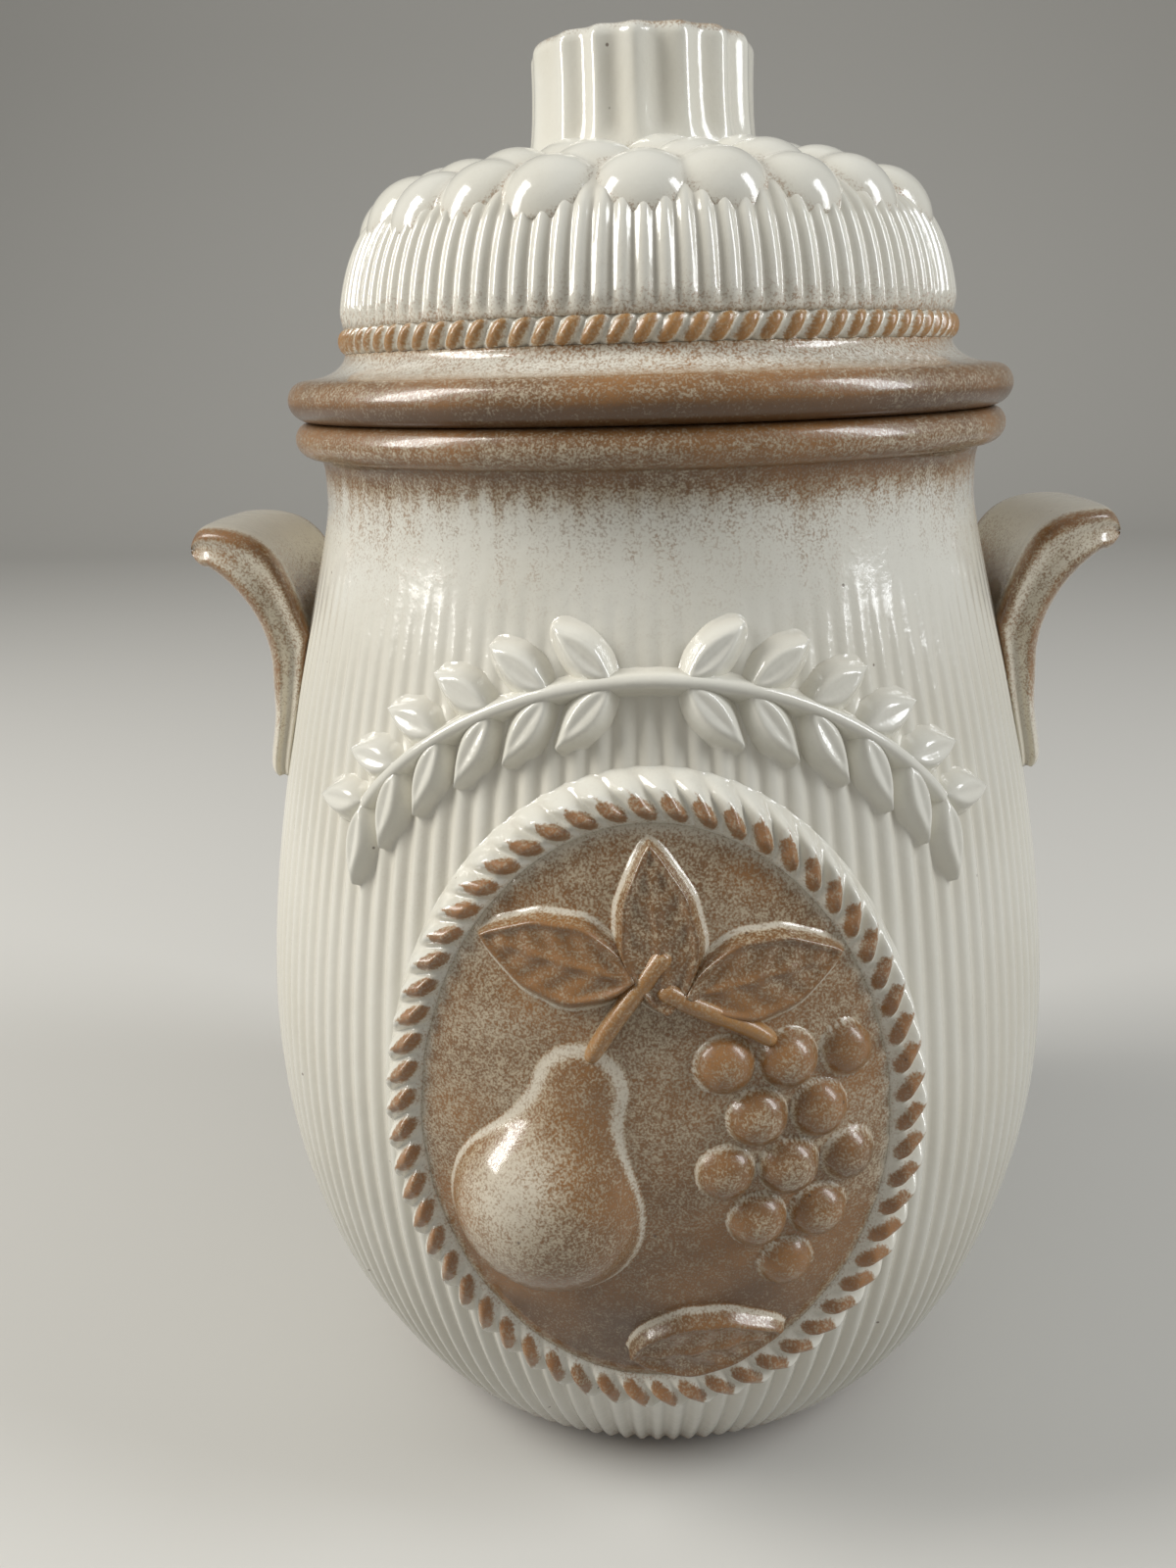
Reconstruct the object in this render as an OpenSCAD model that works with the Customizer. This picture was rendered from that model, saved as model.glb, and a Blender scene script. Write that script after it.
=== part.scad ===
// A lidded stoneware rumtopf pot, built as a potter builds it: a thrown and ribbed body, a lid
// with its own rim and locating collar, and the pieces luted on: lug handles, an oval medallion
// with a rope border and fruit, a leaf garland, and the lid's rope band, berries and knob.
// Millimetres, +Z up, the origin at the middle of the foot, and the medallion towards -Y.

/* [Pot] */
// Height of the pot to the flat top of its rim
pot_h = 251; // [240:1:265]
// Radius of the belly at its fullest
belly_r = 101.2; // [99:0.1:106]
// Height of the fullest part of the belly
belly_z = 100; // [94:1:106]
// Radius of the neck at its narrowest
neck_r = 77.5; // [76.5:0.1:79]
// Drop from the rim's top to the narrowest part of the neck
neck_drop = 19; // [17:0.5:22]
// Radius of the foot on the table
foot_r = 65; // [62:0.5:68]
// Thickness of the pot's wall
wall = 6; // [4.5:0.25:7]
// Thickness of the pot's floor
floor_t = 8; // [6:0.5:10]
// Height of the plain foot below the ribs
foot_h = 3; // [2.5:0.25:5]
// Width of the foot ring
foot_ring_w = 9; // [6:0.5:14]
// Depth of the recess inside the foot ring
foot_recess = 2.5; // [1:0.25:4]
// Radius of the rolled rim at its widest
rim_r = 83.5; // [82.5:0.1:85]
// Radius of the roll along the rim's edge
rim_roll = 4; // [3:0.25:5]
// Rounding of the rim's inner edge
mouth_round = 2; // [1:0.25:3]

/* [Ribs] */
// Number of ribs round the pot
pot_ribs = 116; // [80:1:120]
// Number of ribs round the lid
lid_ribs = 108; // [80:1:112]
// Height of a rib above the valley beside it
rib_h = 1.4; // [0.8:0.1:2]
// Height over which the pot's ribs fade out below the neck
rib_fade = 30; // [15:1:45]

/* [Handles] */
// Reach of the handle's tip from the pot's axis
handle_reach = 116.5; // [112:0.5:120]
// How far the handle's lip lies below the pot's rim
handle_drop = 23.5; // [19:0.5:29]
// Height of the handle, from its tail's blunt end to its lip
handle_h = 60.5; // [53.5:0.5:67.5]
// Thickness of the flap
handle_t = 9.2; // [7:0.2:11]
// Width of the flap across its root
handle_w = 52; // [40:1:60]
// Corner radius of the flap's free end, in plan
handle_corner = 17; // [10:0.5:22]
// Radius of the outward bend on the underside of the flap
handle_bend = 24; // [18:1:28]

/* [Medallion] */
// Height of the medallion's centre above the table
medal_z = 114; // [108:1:118]
// Width of the medallion's brown field
field_w = 103; // [92:1:108]
// Height of the medallion's brown field
field_h = 130; // [120:1:136]
// Thickness of the field plaque
plaque_t = 2.6; // [2:0.1:3.5]
// Width of the border that carries the rope
border_w = 8; // [7:0.5:9]
// Number of strands in the rope border
rope_n = 58; // [44:1:64]
// Radius of one strand of the rope border
rope_r = 2.8; // [2.2:0.1:2.9]
// Length of one strand of the rope border
rope_l = 9.6; // [7:0.2:10.4]
// Height of one strand of the rope border above its bed
rope_t = 3.2; // [2.4:0.1:4]
// Thickness of the bed under the rope border
rope_bed_t = 3.2; // [2.6:0.1:4]

/* [Fruit] */
// Radius of the pear at its fullest
pear_r = 23; // [18:0.5:26]
// Length of the pear
pear_l = 66; // [60:1:70]
// Radius of one grape
grape_r = 6.4; // [5.8:0.1:6.6]
// Length of a fruit leaf
fruit_leaf_l = 34; // [26:1:40]
// Width of a fruit leaf
fruit_leaf_w = 16; // [12:0.5:20]
// Thickness of a fruit leaf
fruit_leaf_t = 2.6; // [2:0.1:4]

/* [Garland] */
// Number of leaf pairs on each half of the garland
garland_pairs = 6; // [4:1:7]
// Length of a garland leaf
garland_leaf_l = 18; // [14:0.5:20]
// Width of a garland leaf
garland_leaf_w = 7.5; // [6:0.25:8.5]
// Height of the garland above the ribs
garland_t = 2.4; // [1.6:0.1:3]
// Thickness of the garland's stem
garland_stem_d = 3.2; // [2.6:0.1:4]

/* [Lid] */
// Radius of the lid's rolled edge at its widest
flange_r = 84.5; // [83.5:0.1:86]
// Thickness of the lid's rolled edge
flange_t = 9; // [8:0.25:10]
// Height of the rope band's channel above the pot's rim
band_z = 14.3; // [13.5:0.1:15]
// Height of the rope band
band_h = 5.4; // [5:0.1:6]
// Radius of the lid's side just above the rope band
dome_r = 70.6; // [69:0.1:71.5]
// Height from the pot's rim to the shoulder, where the ribs end
shoulder_z = 49.5; // [46:0.5:53]
// Radius at which the ribs end and the crown begins
shoulder_r = 45; // [43:0.5:48]
// Height of the crown above the shoulder, at the knob
crown_h = 7.5; // [6:0.5:9]
// Thickness of the lid's wall
lid_wall = 5.5; // [4.5:0.25:6.5]
// Depth of the locating collar below the rim's top
collar_h = 10; // [6:1:14]
// Play between the locating collar and the pot's mouth, on the radius
collar_gap = 1; // [0.6:0.1:1.5]
// Number of strands in the lid's rope band
band_n = 92; // [70:1:96]
// Radius of one strand of the lid's rope band
band_r = 1.95; // [1.6:0.05:2]
// Thickness of the band that carries the strands
band_t = 1.4; // [1:0.1:1.6]

/* [Knob] */
// Radius of the knob below its lip
knob_r = 25; // [23:0.25:26]
// Radius of the knob where it flares on to the lid
knob_base_r = 26.6; // [26:0.1:27.4]
// Height from the pot's rim to the top of the knob
knob_top = 78; // [72:1:84]
// Number of flutes round the knob
knob_flutes = 16; // [10:1:18]
// Depth of a flute
flute_d = 1.5; // [0.8:0.1:2]
// Thickness of the knob's wall
knob_wall = 5.5; // [4.5:0.25:6.5]
// Number of berries in the outer row round the knob
outer_berries = 19; // [15:1:20]
// Number of berries in the inner row round the knob
inner_berries = 15; // [11:1:16]
// Radius of an outer berry
outer_berry_r = 7.2; // [6.8:0.1:7.8]
// Radius of an inner berry
inner_berry_r = 6.6; // [6.2:0.1:7.2]

/* [Hidden] */

// The slip layer between pieces luted together, and the depth of the seat trimmed for them
lute = 0.15;
seat_d = 0.3;
// A small overrun so that cuts pass clean through
over = 5;

cream = [0.86, 0.84, 0.76];
brown = [0.47, 0.30, 0.18];
tan = [0.66, 0.50, 0.34];

// A point on a cubic curve, and a run of points along one
function cubic(a, b, c, d, t) =
    pow(1 - t, 3) * a + 3 * t * pow(1 - t, 2) * b + 3 * t * t * (1 - t) * c + pow(t, 3) * d;
function curve(a, b, c, d, n, first = 0) = [for (i = [first:n]) cubic(a, b, c, d, i / n)];
function arc(c, r, a0, a1, n) =
    [for (i = [0:n]) let (a = a0 + (a1 - a0) * i / n) c + r * [cos(a), sin(a)]];
function swapped(points) = [for (p = points) [p[1], p[0]]];
function grown(points, d) = [for (p = points) [p[0] + d, p[1]]];

// The pot's outline along the valleys between its ribs, from the foot to the neck
neck_z = pot_h - neck_drop;
foot_swell = [22, 21];
belly_lead = 44;
belly_rise = 50;
neck_lead = 10;
lower_line = curve([foot_r, 0], [foot_r, 0] + foot_swell, [belly_r, belly_z - belly_lead],
                   [belly_r, belly_z], 6);
upper_line = curve([belly_r, belly_z], [belly_r, belly_z + belly_rise], [neck_r, neck_z - neck_lead],
                   [neck_r, neck_z], 8, 1);
body_line = concat(lower_line, upper_line);
body_table = swapped(body_line);
function body_r(z) = lookup(z, body_table);
tilt_step = 2;
function body_tilt(z) = atan((body_r(z + tilt_step) - body_r(z - tilt_step)) / (2 * tilt_step));

// The ribbed skin runs from the top of the plain foot to a little below the neck
skin_top = body_line[len(body_line) - 2][1];
skin_ring_z = concat([foot_h], [for (p = body_line) if (p[1] > foot_h + 2 && p[1] <= skin_top) p[1]]);
ledge = 0.4;
// The plain revolved pieces reach this far into the ribbed skin
lap = 2;
rib_lift = [0, 1];
function rib_at(z) = rib_h * min(1, max(0, (skin_top - z) / rib_fade));

mouth_r = neck_r - wall;
rim_bottom = [rim_r - 1.3 * rim_roll, pot_h - 2 * rim_roll];

// The lid's outline above the rope band, and the crown inside its ribs
band_bottom = pot_h + band_z;
band_top = band_bottom + band_h;
shoulder = [shoulder_r, pot_h + shoulder_z];
crown_top = shoulder[1] + crown_h;
dome_n = 5;
dome_line = curve([dome_r, band_top], [dome_r - 1, band_top + 15], [dome_r - 9, shoulder[1] - 2.5],
                  shoulder, dome_n);
dome_in = curve([dome_r - lid_wall, band_top], [dome_r - 1 - lid_wall, band_top + 14],
                [dome_r - 10 - lid_wall, shoulder[1] - 2.5 - lid_wall],
                shoulder - [2, lid_wall], 6);
knob_bore = knob_base_r - knob_wall - 1.5;
crown_slope = crown_h / (shoulder_r - knob_base_r);
function crown_z(r) = shoulder[1] + (shoulder_r - r) * crown_slope;
channel_r = dome_r - 2.2;
collar_r = mouth_r - collar_gap;
collar_in = collar_r - lid_wall;

// A skin of upright ribs round the axis, closed top and bottom. Each ring is [radius, height], each
// rib stands heights[k] above its valleys at ring k, and lift gives the points across one rib
module ribbed_skin(count, rings, heights, lift) {
    steps = len(lift);
    side = steps * count;
    last = len(rings) - 1;
    points = concat(
        [for (k = [0:last]) for (i = [0:side - 1])
            let (a = 360 * i / side, r = rings[k][0] + heights[k] * lift[i % steps])
            [r * cos(a), r * sin(a), rings[k][1]]],
        [[0, 0, rings[0][1]], [0, 0, rings[last][1]]]);
    faces = concat(
        [for (i = [0:side - 1]) [i, (i + 1) % side, (last + 1) * side]],
        [for (i = [0:side - 1]) [last * side + (i + 1) % side, last * side + i, (last + 1) * side + 1]],
        [for (k = [0:last - 1]) for (i = [0:side - 1])
            let (j = (i + 1) % side, low = k * side, high = low + side)
            [low + i, high + i, low + j]],
        [for (k = [0:last - 1]) for (i = [0:side - 1])
            let (j = (i + 1) % side, low = k * side, high = low + side)
            [low + j, high + i, high + j]]);
    polyhedron(points, faces, convexity = 4);
}

// Everything within d of the pot's valley line, as a solid of revolution
module within_body(d) {
    rotate_extrude($fn = 96) polygon(concat([[0, 0]], grown(body_line, d), [[0, neck_z]]));
}

// An upright oval prism that looks along -Y, for trimming the medallion's pieces
module oval_prism(w, h) {
    n = 64;
    translate([0, 0, medal_z]) rotate([90, 0, 0]) linear_extrude(belly_r + 20)
        polygon([for (i = [0:n - 1]) [oval_x(w / 2, 360 * i / n), h / 2 * sin(360 * i / n)]]);
}
// Half widths are measured round the belly, so the flat oval is narrower
function oval_x(half, a) = belly_r * sin(half * cos(a) / belly_r * 180 / PI);

// Puts its children on the pot at an angle from the front and a height, x pointing out
module on_body(a, z, d) {
    rotate([0, 0, a - 90]) translate([body_r(z), 0, z]) rotate([0, body_tilt(z), 0])
        translate([d, 0, 0]) children();
}
// The angle from the front of a point that lies u millimetres round the belly
function turn(u) = u / belly_r * 180 / PI;

module pot_body() {
    color(cream) difference() {
        union() {
            ribbed_skin(pot_ribs, [for (z = skin_ring_z) [body_r(z), z]],
                        [for (z = skin_ring_z) rib_at(z)], rib_lift);
            foot();
            neck_and_rim();
        }
        pot_inside();
        translate([0, 0, -1]) cylinder(r = foot_r - foot_ring_w, h = 1 + foot_recess, $fn = 96);
        medallion_seat();
        handle_seat();
        rotate([0, 0, 180]) handle_seat();
    }
}

module foot() {
    edge = body_r(foot_h) - ledge;
    rotate_extrude($fn = 96)
        polygon([[0, 0], [foot_r - 1, 0], [edge, foot_h - 1], [edge, foot_h + lap], [0, foot_h + lap]]);
}

module neck_and_rim() {
    roll = [rim_r - rim_roll, pot_h - rim_roll];
    low = body_r(skin_top) - ledge;
    rotate_extrude($fn = 96) polygon(concat(
        [[mouth_r - 3, pot_h], [mouth_r - 3, skin_top - lap], [low, skin_top - lap], [low, skin_top + lap]],
        curve([neck_r, neck_z], [neck_r, neck_z + 5], rim_bottom - [1.4, 2], rim_bottom, 4),
        arc(roll, rim_roll, -68, 90, 8)));
}

module pot_inside() {
    rotate_extrude($fn = 96) polygon(concat(
        [[0, floor_t]],
        curve([foot_r - wall - 8, floor_t], [foot_r + 14 - wall, floor_t + 2],
              [belly_r - wall, belly_z - belly_lead + 2], [belly_r - wall, belly_z], 6),
        curve([belly_r - wall, belly_z], [belly_r - wall, belly_z + belly_rise],
              [mouth_r, neck_z - neck_lead], [mouth_r, neck_z], 8, 1),
        arc([mouth_r + mouth_round, pot_h - mouth_round], mouth_round, 180, 90, 4),
        [[mouth_r + mouth_round, pot_h + over], [0, pot_h + over]]));
}

// The ribs are trimmed away to a smooth seat where the medallion is luted on
module medallion_seat() {
    difference() {
        oval_prism(field_w + 2 * border_w + 2 * lute, field_h + 2 * border_w + 2 * lute);
        within_body(-seat_d);
    }
}

// Heights of the handle's lip and blunt lower end, and of its tail's top, above which the
// flap leaves the wall
handle_top = pot_h - handle_drop;
handle_foot = handle_top - handle_h;
flap_h = 24.5;
tail_top = handle_top - flap_h;
lip = [handle_reach - handle_t / 2, handle_top - handle_t / 2];
// The handle's section through its middle, in the plane of radius and height
module handle_section(d) {
    under_r = body_r(handle_foot + 14) + 5.2;
    bend = [under_r, handle_top - handle_t - handle_bend];
    seat = [for (p = body_line) if (p[1] > handle_foot && p[1] < tail_top) p];
    polygon(concat(
        [[body_r(handle_foot) + d, handle_foot]], grown(seat, d), [[body_r(tail_top) + d, tail_top]],
        curve([body_r(tail_top) + 0.6, tail_top + 2], [body_r(tail_top) + 5, tail_top + 14],
              [lip[0] - 20, handle_top + 1], [lip[0] - 4, handle_top], 6),
        arc(lip, handle_t / 2, 80, -80, 8),
        curve([lip[0] - 4, handle_top - handle_t - 0.8], [bend[0] + 8, bend[1] + 21], [bend[0], bend[1] + 12],
              bend, 6),
        [[body_r(handle_foot) + 4.2, handle_foot + 2.5], [body_r(handle_foot) + 2.5, handle_foot]]));
}

// The flap seen from above: straight sides and a rounded free end
module handle_plan(extra) {
    half = handle_w / 2 + extra;
    corner = handle_corner;
    polygon(concat(
        [[belly_r / 2, -half]],
        arc([handle_reach + 1 - corner, corner - half], corner, -90, 0, 6),
        arc([handle_reach + 1 - corner, half - corner], corner, 0, 90, 6),
        [[belly_r / 2, half]]));
}

module handle() {
    color(tan) intersection() {
        rotate([0, 0, -30]) rotate_extrude(angle = 60, $fn = 96) handle_section(lute - seat_d);
        translate([0, 0, handle_foot - over]) linear_extrude(handle_top) handle_plan(0);
    }
}

module handle_seat() {
    difference() {
        translate([0, 0, handle_foot - lute]) linear_extrude(tail_top + 2 + 2 * lute - handle_foot)
            handle_plan(lute);
        within_body(-seat_d);
    }
}

module medallion_plaque() {
    color(brown) intersection() {
        oval_prism(field_w - 2 * lute, field_h - 2 * lute);
        difference() {
            within_body(plaque_t - seat_d);
            within_body(lute - seat_d);
        }
    }
}

// The oval's outline in millimetres round the belly and up from its centre, and its direction
function border_u(a) = (field_w + border_w) / 2 * cos(a);
function border_v(a) = (field_h + border_w) / 2 * sin(a);
function border_dir(a) = atan2((field_h + border_w) * cos(a), -(field_w + border_w) * sin(a));
// The angle at a share of the way round, eased so that the strands lie at even steps
function even_angle(share) = 360 * share + border_ease * sin(720 * share);
border_ease = -3.2;
// How far the strands lean over from the border's own direction
rope_slant = 62;

// One strand of a rope: a rounded bead on its flat side, which looks along -x
module strand(w, l, t, sides) {
    ring = [for (i = [0:sides - 1]) let (a = 360 * (i + 0.5) / sides) [w / 2 * cos(a), l / 2 * sin(a)]];
    points = concat([for (p = ring) [0, p[0], p[1]]], [for (p = ring) [0.6 * t, 0.8 * p[0], 0.85 * p[1]]],
                    [[t, 0, 0]]);
    polyhedron(points, concat(
        [[for (i = [0:sides - 1]) i]],
        [for (i = [0:sides - 1]) [i, sides + i, (i + 1) % sides]],
        [for (i = [0:sides - 1]) let (j = (i + 1) % sides) [j, sides + i, sides + j]],
        [for (i = [0:sides - 1]) [sides + i, 2 * sides, sides + (i + 1) % sides]]));
}

module medallion_rope() {
    color(cream) {
        intersection() {
            difference() {
                oval_prism(field_w + 2 * border_w, field_h + 2 * border_w);
                oval_prism(field_w, field_h);
            }
            difference() {
                within_body(rope_bed_t - seat_d);
                within_body(lute - seat_d);
            }
        }
        for (i = [0:rope_n - 1]) {
            a = even_angle(i / rope_n);
            on_body(turn(border_u(a)), medal_z + border_v(a), rope_bed_t - seat_d + 2 * lute)
                rotate([border_dir(a) + rope_slant - 90, 0, 0]) strand(2 * rope_r, rope_l, rope_t, 8);
        }
    }
}

// The pear lies on the left of the field, its stalk end leaning in, and half its depth is cut away.
// Its outline is a round belly, a curve that leaves it at pear_turn and a neck with a round end
pear_at = [-20, -8];
pear_lean = -16;
pear_sunk = 11;
pear_neck = 0.6 * pear_r;
pear_turn = 28;
module pear_solid() {
    belly = [0, pear_r - pear_l / 2];
    leave = belly + pear_r * [cos(pear_turn), sin(pear_turn)];
    neck = [0, pear_l / 2 - pear_neck];
    on_body(turn(pear_at[0]), medal_z + pear_at[1], plaque_t - seat_d - pear_sunk)
        rotate([pear_lean, 0, 0]) rotate_extrude($fn = 48) polygon(concat(
            arc(belly, pear_r, -90, pear_turn, 8),
            curve(leave, leave + pear_r / 3 * [-sin(pear_turn), cos(pear_turn)],
                  neck + [pear_neck, -pear_r / 3], neck + [pear_neck, 0], 4, 1),
            arc(neck, pear_neck, 18, 90, 4)));
}

module pear() {
    color(tan) difference() {
        pear_solid();
        within_body(plaque_t - seat_d + lute);
    }
}

// The grapes hang on the right in rows that narrow downwards, each a dome on its flat side
grape_rows = [3, 2, 3, 2, 1];
grape_at = [27, 16];
grape_step = 2 * grape_r + lute;
grape_sunk = 2.2;
module grape_bunch() {
    color(tan) for (row = [0:len(grape_rows) - 1]) for (i = [0:grape_rows[row] - 1]) {
        u = grape_at[0] + (i - (grape_rows[row] - 1) / 2) * grape_step;
        v = grape_at[1] - row * 0.9 * grape_step;
        on_body(turn(u), medal_z + v, plaque_t - seat_d + 2 * lute) rotate([0, 90, 0])
            rotate_extrude($fn = 48) polygon(concat([[0, 0]],
                arc([0, -grape_sunk], grape_r, asin(grape_sunk / grape_r), 90, 5)));
    }
}

// A pointed leaf standing on its stalk end, as a flat plate that looks out along x
module leaf_plate(l, w, t) {
    n = 8;
    rotate([90, 0, 90]) linear_extrude(t) polygon(concat(
        [for (i = [0:n]) [w / 2 * sin(180 * pow(i / n, 0.85)), l * i / n]],
        [for (i = [n - 1:-1:1]) [-w / 2 * sin(180 * pow(i / n, 0.85)), l * i / n]]));
}

// Places of the leaves beside the fruit, round the belly and up, and the turn of each
fruit_leaf_at = [[-3, 34], [3, 27], [6, 31], [-6, -53]];
fruit_leaf_turn = [-78, -6, 80, 82];
// Each leaf is cut to the curved field from a flat blank that is this much thicker
leaf_blank = 1.5;
module fruit_leaves() {
    color(tan) for (i = [0:len(fruit_leaf_at) - 1]) difference() {
        on_body(turn(fruit_leaf_at[i][0]), medal_z + fruit_leaf_at[i][1], plaque_t - seat_d - leaf_blank)
            rotate([-fruit_leaf_turn[i], 0, 0])
                leaf_plate(fruit_leaf_l, fruit_leaf_w, fruit_leaf_t + leaf_blank);
        within_body(plaque_t - seat_d + lute);
    }
}

// The garland's stem follows an oval round the medallion, from one shoulder to the other
garland_a = 97;
garland_b = 90;
garland_span = 51;
function garland_u(a) = garland_a * sin(a);
function garland_z(a) = medal_z + garland_b * cos(a);
function garland_dir(a) = atan2(garland_b * sin(a), garland_a * cos(a));
// Flat leaves lie this much off the ribs' crests, clear of the body's hollow line at the neck
leaf_clear = 0.5;
garland_seat = rib_h + leaf_clear;
// The leaves are this much thinner than the stem
leaf_thin = 0.2;

module leaf_garland() {
    steps = 36;
    color(cream) union() {
        for (i = [0:steps - 1]) {
            a = garland_span * (2 * (i + 0.5) / steps - 1);
            long = 2 * garland_span / steps * PI / 180 * garland_a * 1.06;
            on_body(turn(garland_u(a)), garland_z(a), garland_seat)
                rotate([-garland_dir(a) - 90, 0, 0]) translate([0, -garland_stem_d / 2, -long / 2])
                    cube([garland_t, garland_stem_d, long]);
        }
        for (half = [-1, 1]) for (i = [1:garland_pairs]) for (side = [-1, 1]) {
            a = half * garland_span * (i - 0.45) / garland_pairs;
            on_body(turn(garland_u(a)), garland_z(a), garland_seat)
                rotate([-garland_dir(a) - half * 90 + half * side * 40, 0, 0])
                    leaf_plate(garland_leaf_l, garland_leaf_w, garland_t - leaf_thin);
        }
    }
}

// The lid's ribbed dome, the flange that rests on the rim and the collar that drops into the mouth
module lid_shell() {
    roll = [flange_r - flange_t / 2, pot_h + flange_t / 2];
    color(cream) difference() {
        union() {
            ribbed_skin(lid_ribs, dome_line, [for (i = [0:dome_n]) rib_h * min(1, (dome_n - i) / 2)], rib_lift);
            rotate_extrude($fn = 96) polygon(concat(
                [[0, pot_h], [roll[0], pot_h]], arc(roll, flange_t / 2, -80, 85, 8),
                curve([dome_r + 7, pot_h + flange_t + 0.5], [dome_r + 3, pot_h + flange_t + 1.2],
                      [channel_r + 2.2, band_bottom - 2], [channel_r + 2.2, band_bottom], 4),
                [[channel_r, band_bottom], [channel_r, band_top + lap], [0, band_top + lap]]));
            translate([0, 0, pot_h - collar_h]) cylinder(r = collar_r, h = collar_h + 1, $fn = 96);
            rotate_extrude($fn = 96) polygon([[0, shoulder[1] - lap], [shoulder_r - ledge, shoulder[1] - lap],
                [shoulder_r - ledge, shoulder[1] + ledge], [knob_base_r, crown_top], [0, crown_top]]);
        }
        rotate_extrude($fn = 96) polygon(concat(
            [[0, pot_h - collar_h - over], [collar_in, pot_h - collar_h - over], [collar_in, pot_h + 3]],
            dome_in,
            [[knob_bore, crown_top - lid_wall - 1], [knob_bore, crown_top + over], [0, crown_top + over]]));
    }
}

module lid_rope_band() {
    slant = 30;
    middle = (band_bottom + band_top) / 2;
    color(cream) {
        rotate_extrude($fn = 96) translate([channel_r + lute, band_bottom + lute])
            square([band_t, band_h - 2 * lute]);
        for (i = [0:band_n - 1])
            rotate([0, 0, 360 * i / band_n]) translate([channel_r + band_t + 2 * lute, 0, middle])
                rotate([slant, 0, 0]) strand(2 * band_r, band_h * 1.02, band_r, 6);
    }
}

// Two rows of berries fused on a thin collar of clay that fits the crown and the knob's base
module lid_berries() {
    outer_at = shoulder_r - 2.5;
    inner_at = shoulder_r - 13.2;
    color(cream) difference() {
        union() {
            rotate_extrude($fn = 96) polygon([[shoulder_r - 1, shoulder[1] - 1], [shoulder_r - 1, shoulder[1] + 1.6],
                [knob_base_r - 1, crown_z(knob_base_r) + 1.6], [knob_base_r - 1, shoulder[1] - 1]]);
            for (i = [0:outer_berries - 1]) rotate([0, 0, 360 * i / outer_berries])
                translate([outer_at, 0, crown_z(outer_at) - 1]) sphere(outer_berry_r, $fn = 36);
            for (i = [0:inner_berries - 1]) rotate([0, 0, 360 * (i + 0.5) / inner_berries])
                translate([inner_at, 0, crown_z(inner_at) - 0.6]) sphere(inner_berry_r, $fn = 36);
        }
        rotate_extrude($fn = 96) polygon(concat([[0, pot_h]], grown(dome_line, rib_h + lute),
            [[knob_base_r, crown_top + 3 * lute], [0, crown_top + 3 * lute]]));
        translate([0, 0, pot_h]) cylinder(r = knob_base_r + lute, h = 2 * knob_top, $fn = 96);
    }
}

// Rounding of the knob's lip, and of the top of its bore
lip_r = 3;
bore_r = 4;
// The knob is hollow from below, with flutes pressed round it and a rounded lip
module lid_knob() {
    top = pot_h + knob_top;
    rings = concat(
        curve([knob_base_r - flute_d, crown_top + lute], [knob_r - flute_d, crown_top + 4],
              [knob_r - flute_d - 0.3, crown_top + 10], [knob_r - flute_d, top - lip_r], 4),
        arc([knob_r - flute_d - lip_r, top - lip_r], lip_r, 30, 90, 3));
    color(cream) difference() {
        ribbed_skin(knob_flutes, rings, [for (k = [0:len(rings) - 1]) flute_d * (k < 6 ? 1 : 0.5)],
                    [0, 0.55, 0.95, 0.95, 0.55]);
        rotate_extrude($fn = 96) polygon([[0, crown_top - over], [knob_bore, crown_top - over],
            [knob_bore, crown_top + bore_r], [knob_bore - bore_r / 2, top - knob_wall - bore_r],
            [knob_bore - 1.5 * bore_r, top - knob_wall], [0, top - knob_wall]]);
    }
}

pot_body();
rotate([0, 0, 180]) handle();  // handle_left
handle();  // handle_right
medallion_plaque();
medallion_rope();
pear();
grape_bunch();
fruit_leaves();
leaf_garland();
lid_shell();
lid_rope_band();
lid_berries();
lid_knob();
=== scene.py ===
import bmesh
import bpy
import numpy as np
from mathutils import Matrix, Vector


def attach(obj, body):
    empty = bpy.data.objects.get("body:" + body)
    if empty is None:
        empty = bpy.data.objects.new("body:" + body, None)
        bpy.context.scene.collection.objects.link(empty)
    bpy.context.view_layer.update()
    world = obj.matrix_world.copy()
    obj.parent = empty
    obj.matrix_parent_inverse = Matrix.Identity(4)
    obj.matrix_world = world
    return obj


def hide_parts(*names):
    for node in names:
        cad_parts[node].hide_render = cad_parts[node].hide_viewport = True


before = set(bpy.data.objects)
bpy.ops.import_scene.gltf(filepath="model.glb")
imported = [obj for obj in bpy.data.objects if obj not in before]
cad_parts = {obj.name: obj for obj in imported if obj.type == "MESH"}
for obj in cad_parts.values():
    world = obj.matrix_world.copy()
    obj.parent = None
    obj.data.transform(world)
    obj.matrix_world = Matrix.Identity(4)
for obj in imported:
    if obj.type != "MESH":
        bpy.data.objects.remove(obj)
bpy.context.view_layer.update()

# The view of the photograph: a phone lens a little above the lid's edge, looking down at the pot
# from close by, turned slightly left and tilted. Its place comes from the pot's own ellipses.
camera_back = 0.3179
camera_height = 0.2620
camera_pitch = np.radians(18.52)
camera_yaw = np.radians(-2.99)
camera_roll = np.radians(-1.62)
lens_px = 1280
photo_long_side = 1600
sensor_mm = 36
ahead = np.array([np.sin(camera_yaw) * np.cos(camera_pitch), np.cos(camera_yaw) * np.cos(camera_pitch),
                  -np.sin(camera_pitch)])
level = np.array([np.cos(camera_yaw), -np.sin(camera_yaw), 0])
over_head = np.cross(level, ahead)
image_right = np.cos(camera_roll) * level + np.sin(camera_roll) * over_head
image_up = np.cos(camera_roll) * over_head - np.sin(camera_roll) * level
camera_data = bpy.data.cameras.new("view")
camera_data.lens = lens_px * sensor_mm / photo_long_side
camera_data.sensor_width = sensor_mm
camera = bpy.data.objects.new("view", camera_data)
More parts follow.
